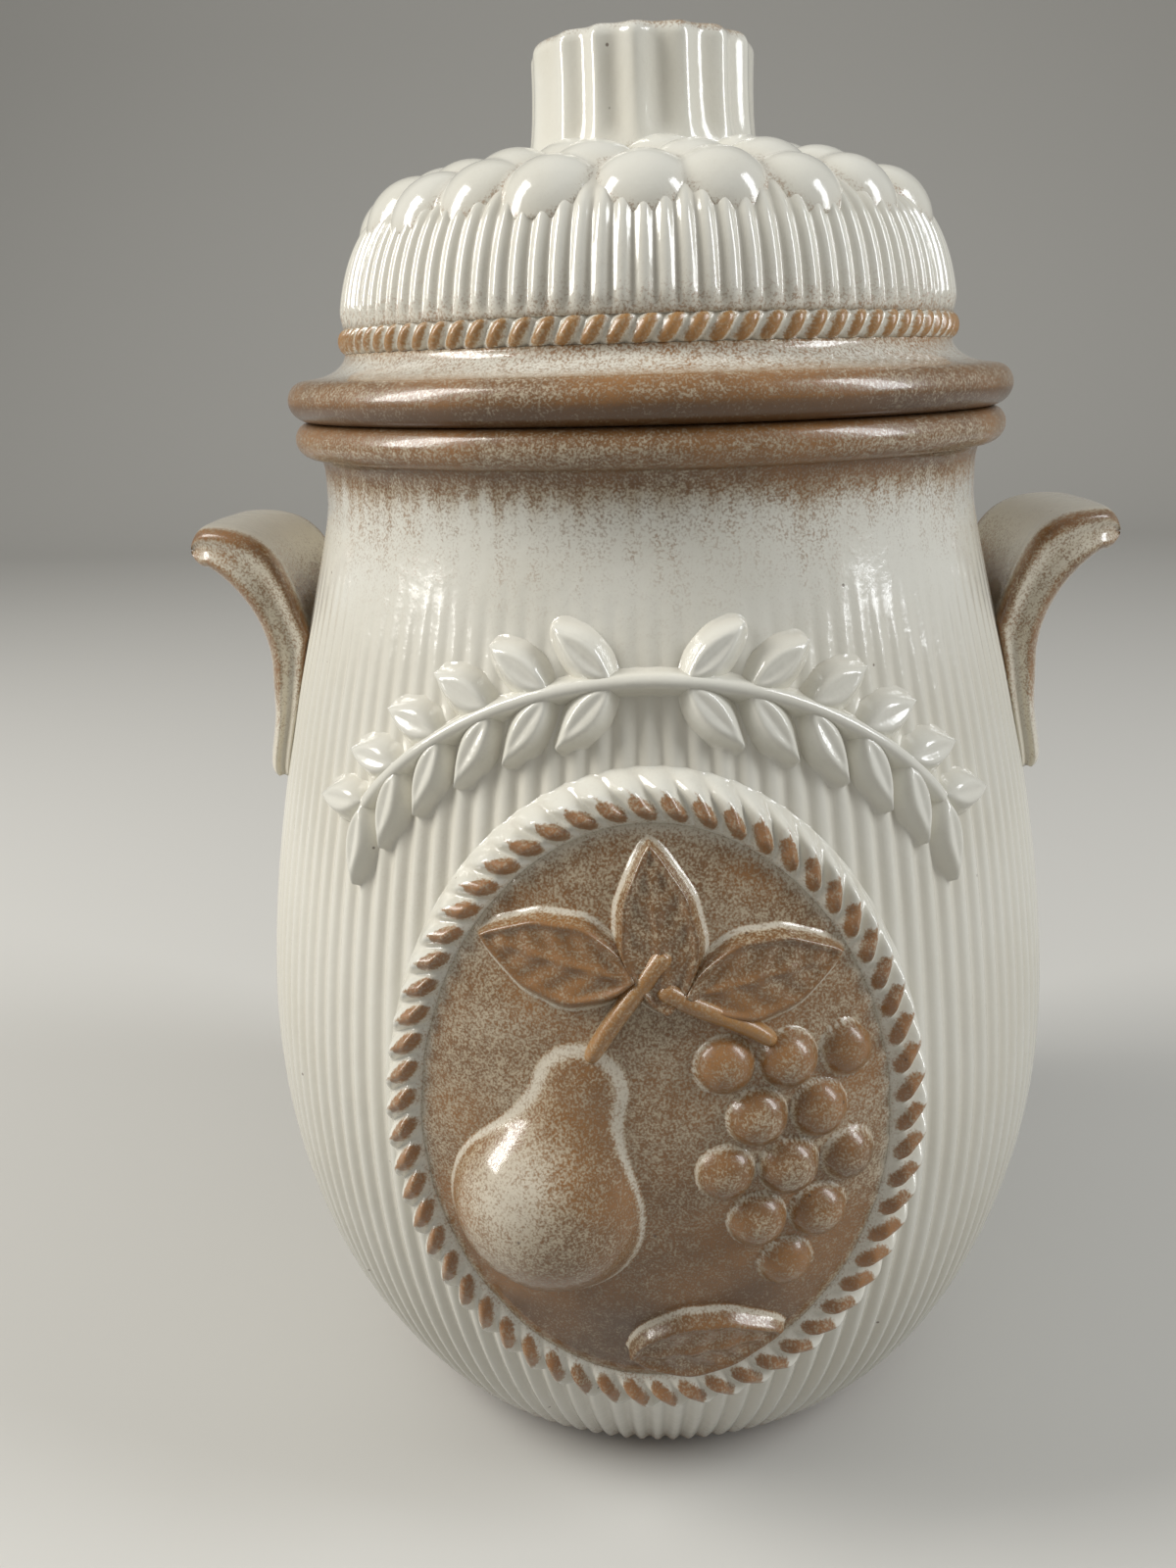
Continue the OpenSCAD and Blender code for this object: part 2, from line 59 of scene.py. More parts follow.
turn_matrix = Matrix(np.stack([image_right, image_up, -ahead], axis=1).tolist()).to_4x4()
camera.matrix_world = Matrix.Translation((0, -camera_back, camera_height)) @ turn_matrix
bpy.context.collection.objects.link(camera)
bpy.context.scene.camera = camera
bpy.context.scene.view_settings.view_transform = "Standard"

# The floor is a wide pale sheet of seamless paper that sweeps up behind the pot.
# It only catches the shadow, and isn't part of the object.
sweep_half = 3.0
sweep_back = 1.6
sweep_bend = 0.9
sweep_height = 3.2
bend_turn = np.linspace(0, np.pi / 2, 24)
sweep_y = np.concatenate([[-4.0], sweep_back + sweep_bend * np.sin(bend_turn), [sweep_back + sweep_bend]])
sweep_z = np.concatenate([[0], sweep_bend * (1 - np.cos(bend_turn)), [sweep_height]])
sweep_points = [(x, y, z) for x in (-sweep_half, sweep_half) for y, z in zip(sweep_y, sweep_z)]
strips = len(sweep_y)
sweep_faces = [(k, k + strips, k + strips + 1, k + 1) for k in range(strips - 1)]
sweep_mesh = bpy.data.meshes.new("paper_sweep")
sweep_mesh.from_pydata(sweep_points, [], sweep_faces)
sweep_mesh.shade_smooth()
sweep = bpy.data.objects.new("paper_sweep", sweep_mesh)
bpy.context.collection.objects.link(sweep)
paper = bpy.data.materials.new("seamless_paper")
paper.use_nodes = True
paper_nodes, paper_links = paper.node_tree.nodes, paper.node_tree.links
ray = paper_nodes.new("ShaderNodeLightPath")
seen = paper_nodes.new("ShaderNodeMath")
seen.operation = "MAXIMUM"
paper_links.new(ray.outputs["Is Camera Ray"], seen.inputs[0])
paper_links.new(ray.outputs["Is Glossy Ray"], seen.inputs[1])
tone = paper_nodes.new("ShaderNodeMix")
tone.data_type = "RGBA"
paper_links.new(seen.outputs[0], tone.inputs["Factor"])
tone.inputs["A"].default_value = (0.27, 0.26, 0.24, 1)
tone.inputs["B"].default_value = (0.60, 0.59, 0.56, 1)
paper_shader = paper_nodes["Principled BSDF"]
paper_links.new(tone.outputs["Result"], paper_shader.inputs["Base Color"])
paper_shader.inputs["Roughness"].default_value = 0.9
sweep_mesh.materials.append(paper)

# Two tall soft boxes stand level with the pot on its left and right, like windows, and a pale
# room fills in from all round. The left one is the stronger.
soft_boxes = {
    "left_window": dict(place=(-1.22, -0.22, 1.02), size=(0.46, 1.15), watts=20.5, tint=(1.0, 0.985, 0.95)),
    "right_window": dict(place=(1.26, -0.30, 0.98), size=(0.36, 1.10), watts=13.0, tint=(0.95, 0.975, 1.0)),
}
aim = Vector((0, 0, 0.18))
for name, box in soft_boxes.items():
    light = bpy.data.lights.new(name, "AREA")
    light.shape = "RECTANGLE"
    light.size, light.size_y = box["size"]
    light.energy = box["watts"]
    light.color = box["tint"]
    lamp = bpy.data.objects.new(name, light)
    lamp.location = box["place"]
    lamp.rotation_euler = (aim - Vector(box["place"])).to_track_quat("-Z", "Y").to_euler()
    bpy.context.collection.objects.link(lamp)
world = bpy.data.worlds.new("pale_room")
world.use_nodes = True
room = world.node_tree.nodes["Background"]
room.inputs["Color"].default_value = (0.80, 0.79, 0.76, 1)
room.inputs["Strength"].default_value = 0.43
bpy.context.scene.world = world

# The pot's body is a slip-cast stoneware jar: a ribbed belly on a plain foot ring, a smooth neck
# and a rolled rim. Its ribs are pressed in the mould and soften under the glaze.
MM = 0.001
pot_h = 251
belly_r = 101.2
belly_z = 100
neck_r = 77.5
neck_z = pot_h - 19
foot_r = 65
wall = 6
floor_t = 8
foot_ring_w = 9
foot_recess = 2.5
rim_r = 83.5
rim_roll = 4
mouth_round = 2
pot_ribs = 116
rib_h = 1.4
rib_steps = 8


def curve(a, b, c, d, count):
    """Points on a cubic curve: corners a, b, c and d weighted by the terms of ((1 - t) + t) cubed."""
    t = np.linspace(0, 1, count)[:, None]
    a, b, c, d = (np.array(p, float) for p in (a, b, c, d))
    return (1 - t) ** 3 * a + 3 * t * (1 - t) ** 2 * b + 3 * t * t * (1 - t) * c + t ** 3 * d


def arc(centre, radius, first, last, count):
    """Points on a circle round centre, from the first angle to the last, in degrees."""
    a = np.radians(np.linspace(first, last, count))
    return np.array(centre) + radius * np.stack([np.cos(a), np.sin(a)], axis=1)


def smooth_step(low, high, x):
    """Goes from 0 at low to 1 at high, with level ends: 3 t squared minus 2 t cubed."""
    t = np.clip((x - low) / (high - low), 0, 1)
    return t * t * (3 - 2 * t)


def soft_max(a, b, k):
    """The larger of a and b, rounded where they meet over a height k."""
    h = np.clip(0.5 + 0.5 * (a - b) / k, 0, 1)
    return b + (a - b) * h + k * h * (1 - h)


def ripple(a, z, seed):
    """A slow uneven wave over angle and height, between about -1 and 1: three sines that never line up."""
    s = seed * 1.7
    return (np.sin(3 * a + 0.031 * z + s) + np.sin(5 * a - 0.047 * z + 2.3 * s)
            + np.sin(2 * a + 0.09 * z + 0.7 * s)) / 3


def skin(name, points, start=None, end=None, **values):
    """A closed skin over rings of points in millimetres, each ring joined to the next and round on
    itself. It ends in two pole points, or else its last ring joins its first. Each extra value is
    kept as an attribute of the mesh."""
    rows, cols = points.shape[:2]
    index = np.arange(rows * cols).reshape(rows, cols)
    low, high = (index, np.roll(index, -1, axis=0)) if start is None else (index[:-1], index[1:])
    faces = np.stack([low, np.roll(low, -1, axis=1), np.roll(high, -1, axis=1), high], axis=-1).reshape(-1, 4).tolist()
    corners = points.reshape(-1, 3)
    if start is not None:
        for tip, ring in ((rows * cols, index[0]), (rows * cols + 1, index[-1])):
            faces += np.column_stack([ring, np.roll(ring, -1), np.full(cols, tip)]).tolist()
        corners = np.vstack([corners, start, end])
    mesh = bpy.data.meshes.new(name)
    mesh.from_pydata((corners * MM).tolist(), [], faces)
    whole = bmesh.new()
    whole.from_mesh(mesh)
    bmesh.ops.recalc_face_normals(whole, faces=whole.faces)
    whole.to_mesh(mesh)
    whole.free()
    mesh.shade_smooth()
    for key, value in values.items():
        spread = np.broadcast_to(value, (rows, cols)).astype(np.float32)
        flat = spread.reshape(-1)
        if start is not None:
            flat = np.r_[flat, spread[0].mean(), spread[-1].mean()]
        mesh.attributes.new(key, "FLOAT", "POINT").data.foreach_set("value", flat.astype(np.float32))
    piece = bpy.data.objects.new(name, mesh)
    bpy.context.collection.objects.link(piece)
    return piece


lower_line = curve((foot_r, 0), (foot_r + 22, 21), (belly_r, belly_z - 44), (belly_r, belly_z), 60)
upper_line = curve((belly_r, belly_z), (belly_r, belly_z + 50), (neck_r, neck_z - 10), (neck_r, neck_z), 60)
body_line = np.vstack([lower_line, upper_line[1:]])


def body_r(z):
    """The pot's outer radius at a height, along the valleys between its ribs."""
    return np.interp(z, body_line[:, 1], body_line[:, 0])


def rib_lift(a, z):
    """How far a rib stands out at an angle and height: a round-topped wave that fades at foot and neck."""
    wobble = 0.10 * ripple(a, z, 1.0)
    wave = np.sqrt(0.10 + 0.90 * np.cos(0.5 * pot_ribs * a + wobble) ** 2)
    fade = smooth_step(1.5, 7, z) * (1 - smooth_step(186, 224, z)) * (1 - 0.36 * smooth_step(30, 150, z))
    return rib_h * fade * (wave - 0.316) / 0.684 * (1 + 0.10 * ripple(2 * a, z, 2.0))


mouth_r = neck_r - wall
foot_rows = np.array([(foot_r - foot_ring_w, foot_recess), (foot_r - foot_ring_w + 0.4, 0.4),
                      (foot_r - foot_ring_w + 1.2, 0), (foot_r - 1.6, 0), (foot_r - 0.5, 0.35)])
side_rows = np.column_stack([body_r(np.r_[np.linspace(1.2, 20, 12), np.linspace(24, 228, 46)]),
                             np.r_[np.linspace(1.2, 20, 12), np.linspace(24, 228, 46)]])
neck_rows = curve((neck_r, neck_z), (neck_r, neck_z + 5), (76.9, 241), (78.3, 243), 7)
roll_rows = arc((rim_r - rim_roll, pot_h - rim_roll), rim_roll, -68, 90, 12)
lip_rows = arc((mouth_r + mouth_round, pot_h - mouth_round), mouth_round, 90, 180, 5)
inner_upper = curve((mouth_r, neck_z), (mouth_r, neck_z - 10), (belly_r - wall, belly_z + 50),
                    (belly_r - wall, belly_z), 10)
inner_lower = curve((belly_r - wall, belly_z), (belly_r - wall, belly_z - 42), (foot_r + 14 - wall, floor_t + 2),
                    (foot_r - wall - 8, floor_t), 10)[1:]
pot_rows = np.vstack([foot_rows, side_rows, neck_rows, roll_rows, lip_rows, inner_upper, inner_lower])
outside = np.zeros(len(pot_rows))
outside[len(foot_rows):len(foot_rows) + len(side_rows)] = 1
around = np.linspace(0, 2 * np.pi, pot_ribs * rib_steps, endpoint=False)
row_r, row_z = pot_rows[:, :1], pot_rows[:, 1:]
lift = rib_lift(around[None, :], row_z) * outside[:, None]
swell = 0.25 * ripple(around[None, :], row_z, 3.0) * outside[:, None]
pot_radius = row_r + lift + swell
pot_points = np.stack([pot_radius * np.sin(around), -pot_radius * np.cos(around),
                       np.broadcast_to(row_z, pot_radius.shape)], axis=-1)
inside_from = len(foot_rows) + len(side_rows) + len(neck_rows) + len(roll_rows) + 3
is_inside = (np.arange(len(pot_rows)) >= inside_from)[:, None]
# The wash rises at the foot and under the rim. At the foot's edge it is the glaze's brown edge and partly painted shade
# where the pot meets the floor; at the rim's top, where the lid's flange sits, its darkest values are painted shadow in
# the seam.
wash_and_shade_at = np.array([(0, 0.98), (2.2, 0.94), (4.0, 0.60), (8, 0.30), (14, 0.10), (24, 0.02), (205, 0.02), (221, 0.07),
                    (229, 0.13), (234, 0.24), (238, 0.46), (241, 0.76), (243.2, 0.86), (245.2, 0.66),
                    (247.6, 0.60), (249.4, 0.80), (251, 0.97)])
streak = np.random.default_rng(5).normal(size=len(around))
streak = (streak + np.roll(streak, 1) + np.roll(streak, 2) + np.roll(streak, -1)) / 4
pot_spray_and_shade = np.interp(row_z, *wash_and_shade_at.T) + 0.10 * streak * smooth_step(212, 238, row_z) * (1 - smooth_step(240, 243, row_z))
pot_spray_and_shade = np.where(is_inside, 0.08, np.clip(pot_spray_and_shade + 0.02 * ripple(around, row_z, 6.0), 0, 0.99))
pot_pool = (1 - lift / rib_h) * outside[:, None] * smooth_step(4, 12, row_z) * (1 - smooth_step(196, 220, row_z))
pot = skin("ribbed_pot", pot_points, start=(0, 0, foot_recess), end=(0, 0, floor_t), spray=pot_spray_and_shade, pool=pot_pool)
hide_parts("pot_body")
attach(pot, "pot")

# The glaze: a thick warm white over the whole pot, with a brown iron wash sprayed over it in fine
# dots wherever the spray value is high, tiny dark specks, and a warmer tone pooled in hollows. At the
# top of its range the spray turns a deeper brown, which also serves as painted shade.


def new_group(name, inputs, outputs):
    """A shader node group with the named inputs, each a kind and a value, and the named outputs."""
    group = bpy.data.node_groups.new(name, "ShaderNodeTree")
    for title, (kind, value) in inputs.items():
        socket = group.interface.new_socket(title, in_out="INPUT", socket_type=kind)
        socket.default_value = value
    for title, kind in outputs.items():
        group.interface.new_socket(title, in_out="OUTPUT", socket_type=kind)
    return group


class Wires:
    """Adds nodes to one node tree, and wires them by what each needs."""

    def __init__(self, tree):
        self.tree = tree

    def node(self, kind, settings=None, **inputs):
        made = self.tree.nodes.new(kind)
        for key, value in (settings or {}).items():
            setattr(made, key, value)
        for key, value in inputs.items():
            self.feed(made.inputs[key.replace("_", " ")], value)
        return made

    def feed(self, socket, value):
        if isinstance(value, bpy.types.NodeSocket):
            self.tree.links.new(value, socket)
        else:
            socket.default_value = value

    def maths(self, operation, a, b=0.0, c=0.0):
        made = self.tree.nodes.new("ShaderNodeMath")
        made.operation = operation
        for socket, value in zip(made.inputs, (a, b, c)):
            self.feed(socket, value)
        return made.outputs[0]

    def noise(self, place, scale, detail=2.0, rough=0.5):
        made = self.node("ShaderNodeTexNoise", Vector=place, Scale=scale, Detail=detail, Roughness=rough)
        return made.outputs["Fac"]

    def between(self, value, low, high, to_low=0.0, to_high=1.0):
        made = self.tree.nodes.new("ShaderNodeMapRange")
        made.interpolation_type = "SMOOTHSTEP"
        for socket, number in zip(made.inputs, (value, low, high, to_low, to_high)):
            self.feed(socket, number)
        return made.outputs[0]

    def blend(self, share, a, b):
        made = self.tree.nodes.new("ShaderNodeMix")
        made.data_type = "RGBA"
        self.feed(made.inputs["Factor"], share)
        self.feed(made.inputs["A"], a)
        self.feed(made.inputs["B"], b)
        return made.outputs["Result"]


sprayed = new_group("sprayed_glaze", {
    "Spray": ("NodeSocketFloat", 0.0), "Pool": ("NodeSocketFloat", 0.0),
    "Ground": ("NodeSocketColor", (0.78, 0.765, 0.69, 1)), "Hollow": ("NodeSocketColor", (0.66, 0.61, 0.50, 1)),
    "Iron": ("NodeSocketColor", (0.085, 0.040, 0.015, 1)), "Rust": ("NodeSocketColor", (0.37, 0.178, 0.058, 1)),
    "Tan": ("NodeSocketColor", (0.49, 0.385, 0.245, 1)), "Grain": ("NodeSocketFloat", 1850.0),
}, {"Color": "NodeSocketColor", "Roughness": "NodeSocketFloat", "Height": "NodeSocketFloat"})
g = Wires(sprayed)
given = g.node("NodeGroupInput").outputs
place = g.node("ShaderNodeTexCoord").outputs["Object"]
fine = g.between(g.noise(place, given["Grain"], 2.0, 0.6), 0.33, 0.67)
middle = g.between(g.noise(place, 420.0, 2.0, 0.5), 0.30, 0.70)
broad = g.between(g.noise(place, 45.0, 2.0, 0.5), 0.25, 0.75)
grain = g.maths("ADD", g.maths("MULTIPLY", fine, 0.60),
                g.maths("ADD", g.maths("MULTIPLY", middle, 0.20), g.maths("MULTIPLY", broad, 0.20)))
edge = g.maths("SUBTRACT", 1.0, given["Spray"])
cover = g.between(grain, g.maths("SUBTRACT", edge, 0.42), g.maths("ADD", edge, 0.42))
cover = g.maths("MULTIPLY", cover, g.between(given["Spray"], 0.0, 0.16))
cloudy = g.blend(g.between(broad, 0.1, 0.9, 0.0, 0.30), given["Ground"], (0.72, 0.69, 0.585, 1))
ground = g.blend(g.maths("MULTIPLY", given["Pool"], 0.45), cloudy, given["Hollow"])
ground = g.blend(g.between(given["Spray"], 0.15, 0.65, 0.0, 0.80), ground, given["Tan"])
# The highest spray values give a deeper, smoother brown: thick wash, and painted shade where pieces push their spray
# there for seams and low places.
thick_wash_and_shade = g.between(given["Spray"], 0.82, 0.99)
warm = g.maths("ADD", g.maths("MULTIPLY", broad, 0.45), g.maths("ADD", g.maths("MULTIPLY", fine, 0.30), 0.10))
wash = g.blend(g.maths("MULTIPLY", warm, g.maths("SUBTRACT", 1.0, g.maths("MULTIPLY", thick_wash_and_shade, 0.70))),
               given["Iron"], given["Rust"])
tinted = g.blend(cover, ground, wash)
speck_noise = g.node("ShaderNodeTexVoronoi", Vector=place, Scale=155.0, Randomness=1.0).outputs
near_speck = g.between(speck_noise["Distance"], 0.035, 0.075, 1.0, 0.0)
some = g.maths("GREATER_THAN", g.node("ShaderNodeSeparateColor", Color=speck_noise["Color"]).outputs["Red"], 0.80)
speck = g.maths("MULTIPLY", near_speck, some)
coloured = g.blend(g.maths("MULTIPLY", speck, 0.75), tinted, (0.10, 0.055, 0.03, 1))
matte = g.maths("ADD", 0.12, g.maths("MULTIPLY", cover, 0.20))
matte = g.maths("ADD", matte, g.maths("MULTIPLY", broad, 0.05))
wave = g.maths("ADD", g.maths("MULTIPLY", broad, 0.9), g.maths("MULTIPLY", middle, 0.14))
height = g.maths("SUBTRACT", wave, g.maths("ADD", g.maths("MULTIPLY", speck, 0.30),
                                         g.maths("MULTIPLY", g.maths("MULTIPLY", fine, cover), 0.07)))
g.node("NodeGroupOutput", Color=coloured, Roughness=matte, Height=height)


def glaze(name, **values):
    """A glossy glazed stoneware material: the sprayed glaze read from the piece's own spray and pool
    values, under a clear coat, with a faint waviness."""
    material = bpy.data.materials.new(name)
    material.use_nodes = True
    tree = material.node_tree
    w = Wires(tree)
    spray = w.node("ShaderNodeAttribute", dict(attribute_name="spray")).outputs["Fac"]
    pool = w.node("ShaderNodeAttribute", dict(attribute_name="pool")).outputs["Fac"]
    mix = w.node("ShaderNodeGroup", dict(node_tree=sprayed), Spray=spray, Pool=pool, **values)
    bump = w.node("ShaderNodeBump", Strength=0.5, Distance=0.00035, Height=mix.outputs["Height"])
    shader = tree.nodes["Principled BSDF"]
    w.feed(shader.inputs["Base Color"], mix.outputs["Color"])
    w.feed(shader.inputs["Roughness"], mix.outputs["Roughness"])
    w.feed(shader.inputs["Normal"], bump.outputs["Normal"])
    shader.inputs["IOR"].default_value = 1.52
    shader.inputs["Coat Weight"].default_value = 0.35
    shader.inputs["Coat Roughness"].default_value = 0.07
    return material


cream_glaze = glaze("cream_glaze")
pot.data.materials.append(cream_glaze)

# Each handle is a tongue of clay pulled out from the shoulder: its tail is luted down the wall, and
# its free end flares out over the fingers. Both long edges carry two ridges with a groove between.
handle_reach = 113.8
handle_top = 227.5
handle_foot = 167
handle_t = 9.2
handle_half = 26
handle_corner = 17
tail_top = 203
lip = np.array([handle_reach - handle_t / 2, handle_top - handle_t / 2])


def even(points, count):
    """The same line as points, with count points at even steps along it."""
    step = np.r_[0, np.cumsum(np.hypot(*np.diff(points, axis=0).T))]
    at = np.linspace(0, step[-1], count)
    return np.stack([np.interp(at, step, points[:, 0]), np.interp(at, step, points[:, 1])], axis=1)


seat_z = np.linspace(handle_foot, tail_top, 16)
inner_side = np.vstack([
    np.column_stack([body_r(seat_z) - 0.05, seat_z]),
    curve((body_r(tail_top) + 0.6, tail_top + 2), (body_r(tail_top) + 5, tail_top + 14),
          (lip[0] - 20, handle_top + 1), (lip[0] - 2, handle_top), 30)])
under_r = body_r(handle_foot + 14) + 5.2
bend = np.array([under_r, handle_top - handle_t - 24])
outer_side = np.vstack([
    curve((body_r(handle_foot) + 3.6, handle_foot), (body_r(handle_foot) + 6.2, handle_foot + 0.5),
          (under_r + 1.5, handle_foot + 7), (under_r + 0.5, handle_foot + 15), 12),
    [bend],
    curve(bend, (bend[0], bend[1] + 12), (bend[0] + 8, bend[1] + 21),
          (lip[0] - 2, handle_top - handle_t - 0.6), 26)[1:]])
rows_along = 64
cap_rows = 9
inner_line = even(inner_side, rows_along)
outer_line = even(outer_side, rows_along)
cap = np.sin(np.linspace(0, np.pi / 2, cap_rows + 1))[1:]
cap_reach = (handle_t / 2 - 0.6) * cap
squeeze = np.sqrt(1 - cap ** 2 * 0.985)
end_dir = np.array([0.985, -0.17])
middle_end = (inner_line[-1] + outer_line[-1]) / 2
cap_inner = middle_end + end_dir * cap_reach[:, None] + (inner_line[-1] - middle_end) * squeeze[:, None]
cap_outer = middle_end + end_dir * cap_reach[:, None] + (outer_line[-1] - middle_end) * squeeze[:, None]
inner_line = np.vstack([inner_line, cap_inner])
outer_line = np.vstack([outer_line, cap_outer])
row_reach = np.maximum(inner_line[:, 0], outer_line[:, 0])
past = np.clip((row_reach - (handle_reach - handle_corner)) / handle_corner, 0, 1)
half_width = handle_half - handle_corner * (1 - np.sqrt(1 - past ** 2 * 0.92))

section_turn = np.linspace(0, 2 * np.pi, 112, endpoint=False)
square_y = np.sign(np.cos(section_turn)) * np.abs(np.cos(section_turn)) ** 0.20
square_x = np.sign(np.sin(section_turn)) * np.abs(np.sin(section_turn)) ** 0.60
groove = 1.7 * (1 - smooth_step(0.0, 0.70, np.abs(square_x))) * smooth_step(0.70, 0.98, np.abs(square_y))


def handle_piece(name, side):
    """One handle as rounded sections from tail to lip. A section runs between the inner and outer line,
    out to the half width on both sides, and is bent round the pot so that each point keeps its radius."""
    mid = (inner_line + outer_line)[:, None] / 2
    across = (outer_line - inner_line)[:, None] / 2
    line = mid + across * square_x[None, :, None]
    y = square_y[None, :] * half_width[:, None] - np.sign(square_y)[None, :] * groove[None, :]
    r, z = line[..., 0], line[..., 1]
    x = np.sqrt(np.maximum(r ** 2 - y ** 2, 1))
    points = np.stack([side * x, side * y, z], axis=-1)
    along = np.linspace(0, 1, len(inner_line))[:, None]
    at_arris = np.exp(-((np.abs(square_x) - 0.74) / 0.30) ** 2) * smooth_step(0.74, 0.92, np.abs(square_y))
    at_arris = at_arris * np.where(square_x < 0, 1.0, 0.72)
    lip_end = smooth_step(0.90, 1.0, along)
    ridge = at_arris[None, :] * smooth_step(0.14, 0.40, along)
    upper = (square_x < 0)[None, :] * 1.0
    root = upper * np.exp(-((along - 0.52) / 0.09) ** 2) * (1 - smooth_step(0.5, 1.0, np.abs(square_y)))[None, :]
    in_groove = (1 - smooth_step(0.1, 0.5, np.abs(square_x)))[None, :] * smooth_step(0.2, 0.5, along)
    spray = 0.10 - 0.05 * upper + 0.82 * ridge + 0.50 * root + 0.26 * in_groove + 0.34 * lip_end * (1 - upper)
    spray = spray + 0.06 * ripple(along * 9, y, 1.3)
    pool = 0.30 * upper * smooth_step(0.3, 0.9, along) + 0.15
    start = points[0].mean(axis=0)
    end = points[-1].mean(axis=0)
    return skin(name, points, start=start, end=end, spray=np.clip(spray, 0, 0.93), pool=pool)


tan_glaze = glaze("tan_glaze", Ground=(0.76, 0.71, 0.59, 1), Hollow=(0.64, 0.53, 0.38, 1))
for side, name in ((1, "right"), (-1, "left")):
    handle = handle_piece("handle_" + name + "_tongue", side)
    handle.data.materials.append(tan_glaze)
    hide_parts("handle_" + name)
    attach(handle, "pot")

# The medallion's field is an oval tile of clay pressed on to the belly. The brown wash lies
# heaviest here, and wears thin to cream where the surface stands proud. Its darker foot is partly
# painted shade, and the pear's paler up-and-left side is painted light.
medal_z = 114
field_w = 103
field_h = 130
plaque_t = 2.3
border_w = 8


def on_belly(u, v, h):
    """The point u millimetres round the belly from the front, v above the medallion's middle, and h
    out from the valleys between the ribs, measured square to the pot's outline."""
    z = medal_z + v
    a = u / belly_r
    slope = (body_r(z + 1) - body_r(z - 1)) / 2
    steep = np.sqrt(1 + slope ** 2)
    r = body_r(z) + h / steep
    return np.stack([r * np.sin(a), -r * np.cos(a), z - h * slope / steep], axis=-1)


def wrinkle(u, v, seed):
    """Hand-made unevenness over the field, between about -1 and 1: crossed sines of the two distances."""
    return (np.sin(0.21 * u + 0.13 * v + seed) + np.sin(0.33 * v - 0.17 * u + 2.1 * seed)
            + np.sin(0.09 * u * np.cos(seed) + 0.4 * v)) / 3


share = np.r_[np.linspace(0.02, 1, 44)][:, None]
way = np.linspace(0, 2 * np.pi, 200, endpoint=False)[None, :]
plaque_u = share * field_w / 2 * np.cos(way)
plaque_v = share * field_h / 2 * np.sin(way)



def field_face(u, v):
    """Height of the field's face: level, but for hand-made unevenness."""
    return plaque_t - 0.15 + 0.22 * wrinkle(u, v, 0.6)


plaque_top = on_belly(plaque_u, plaque_v, field_face(plaque_u, plaque_v) - 1.5 * smooth_step(0.992, 1.0, share))
back_share = np.array([0.97, 0.5, 0.02])[:, None]
plaque_back = on_belly(back_share * field_w / 2 * np.cos(way), back_share * field_h / 2 * np.sin(way), 0 * way - 0.1)
plaque_points = np.concatenate([plaque_top, plaque_back])


def field_wash_and_shade(u, v):
    """How much wash the field carries: more towards its foot, partly as painted shade, uneven, and wiped to cream
    beside the rope.
    """
    near_rope = smooth_step(0.93, 0.985, np.hypot(u / field_w * 2, v / field_h * 2))
    return (0.58 + 0.08 * wrinkle(u, v, 2.2) + 0.36 * smooth_step(2, -56, v)) * (1 - 0.72 * near_rope)


plaque_spray_and_shade = np.vstack([field_wash_and_shade(plaque_u, plaque_v), np.full((3, plaque_u.shape[1]), 0.5)])
plaque = skin("medallion_field", plaque_points, start=on_belly(0.0, 0.0, plaque_t), end=on_belly(0.0, 0.0, -0.1),
              spray=plaque_spray_and_shade, pool=0.2)
brown_glaze = glaze("brown_glaze", Ground=(0.66, 0.60, 0.49, 1), Hollow=(0.56, 0.47, 0.35, 1))
plaque.data.materials.append(brown_glaze)
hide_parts("medallion_plaque")
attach(plaque, "pot")

# The rope border is a twisted coil of clay laid round the field. Its strands lean one way all round
# and sink softly into the wall, and the wash has caught in a drop on the inner end of each.
rope_n = 58
rope_rise = 3.9
rope_turn = np.linspace(0, 2 * np.pi, rope_n * 26, endpoint=False)
oval = np.stack([(field_w + border_w) / 2 * np.cos(rope_turn), (field_h + border_w) / 2 * np.sin(rope_turn)])
gap = np.hypot(*(np.roll(oval, -1, axis=1) - oval))
walked = np.r_[0, np.cumsum(gap)[:-1]] / gap.sum()
out_dir = np.stack([(field_h + border_w) * np.cos(rope_turn), (field_w + border_w) * np.sin(rope_turn)])
out_dir = out_dir / np.hypot(*out_dir)
across = np.r_[-np.cos(np.linspace(0, np.pi, 36)), 0.9, 0, -0.9][:, None]
on_top = (np.arange(39) < 36)[:, None]
strand = rope_n * walked[None, :] - 0.66 * across
off_strand = strand - np.round(strand)
crest = np.sqrt(0.02 + 0.98 * np.cos(np.pi * strand) ** 2)
bell = smooth_step(-1.0, -0.42, across) * (1 - smooth_step(0.12, 1.0, across))
bed = np.interp(across, [-1, -0.88, -0.5, 0.3, 0.8, 1], [1.2, 2.3, 2.4, 1.9, 1.0, -0.1])
rope_u = oval[0] + out_dir[0] * across * (border_w / 2 + 1.6)
rope_v = oval[1] + out_dir[1] * across * (border_w / 2 + 1.6)
rope_h = bed + rope_rise * bell * (0.28 + 0.72 * crest)
ribs_here = rib_lift(rope_u / belly_r, medal_z + rope_v) - 0.04 - 0.5 * smooth_step(0.93, 1.0, across)
rope_h = np.where(across > 0, soft_max(rope_h, ribs_here, 0.8), rope_h)
rope_h = np.where(on_top, rope_h, -0.2)
drop = np.maximum(0.36 * np.sqrt(np.clip(1 - ((across + 0.40) / 0.42) ** 2, 0, 1)), 0.16 * smooth_step(0.35, -0.45, across))
drop_edge = smooth_step(0.09, -0.08, np.abs(off_strand) - drop) * smooth_step(-0.88, -0.74, across)
drop_edge = drop_edge * smooth_step(0.40, 0.05, across) * on_top
rope_points = on_belly(rope_u, rope_v, rope_h).transpose(1, 0, 2)
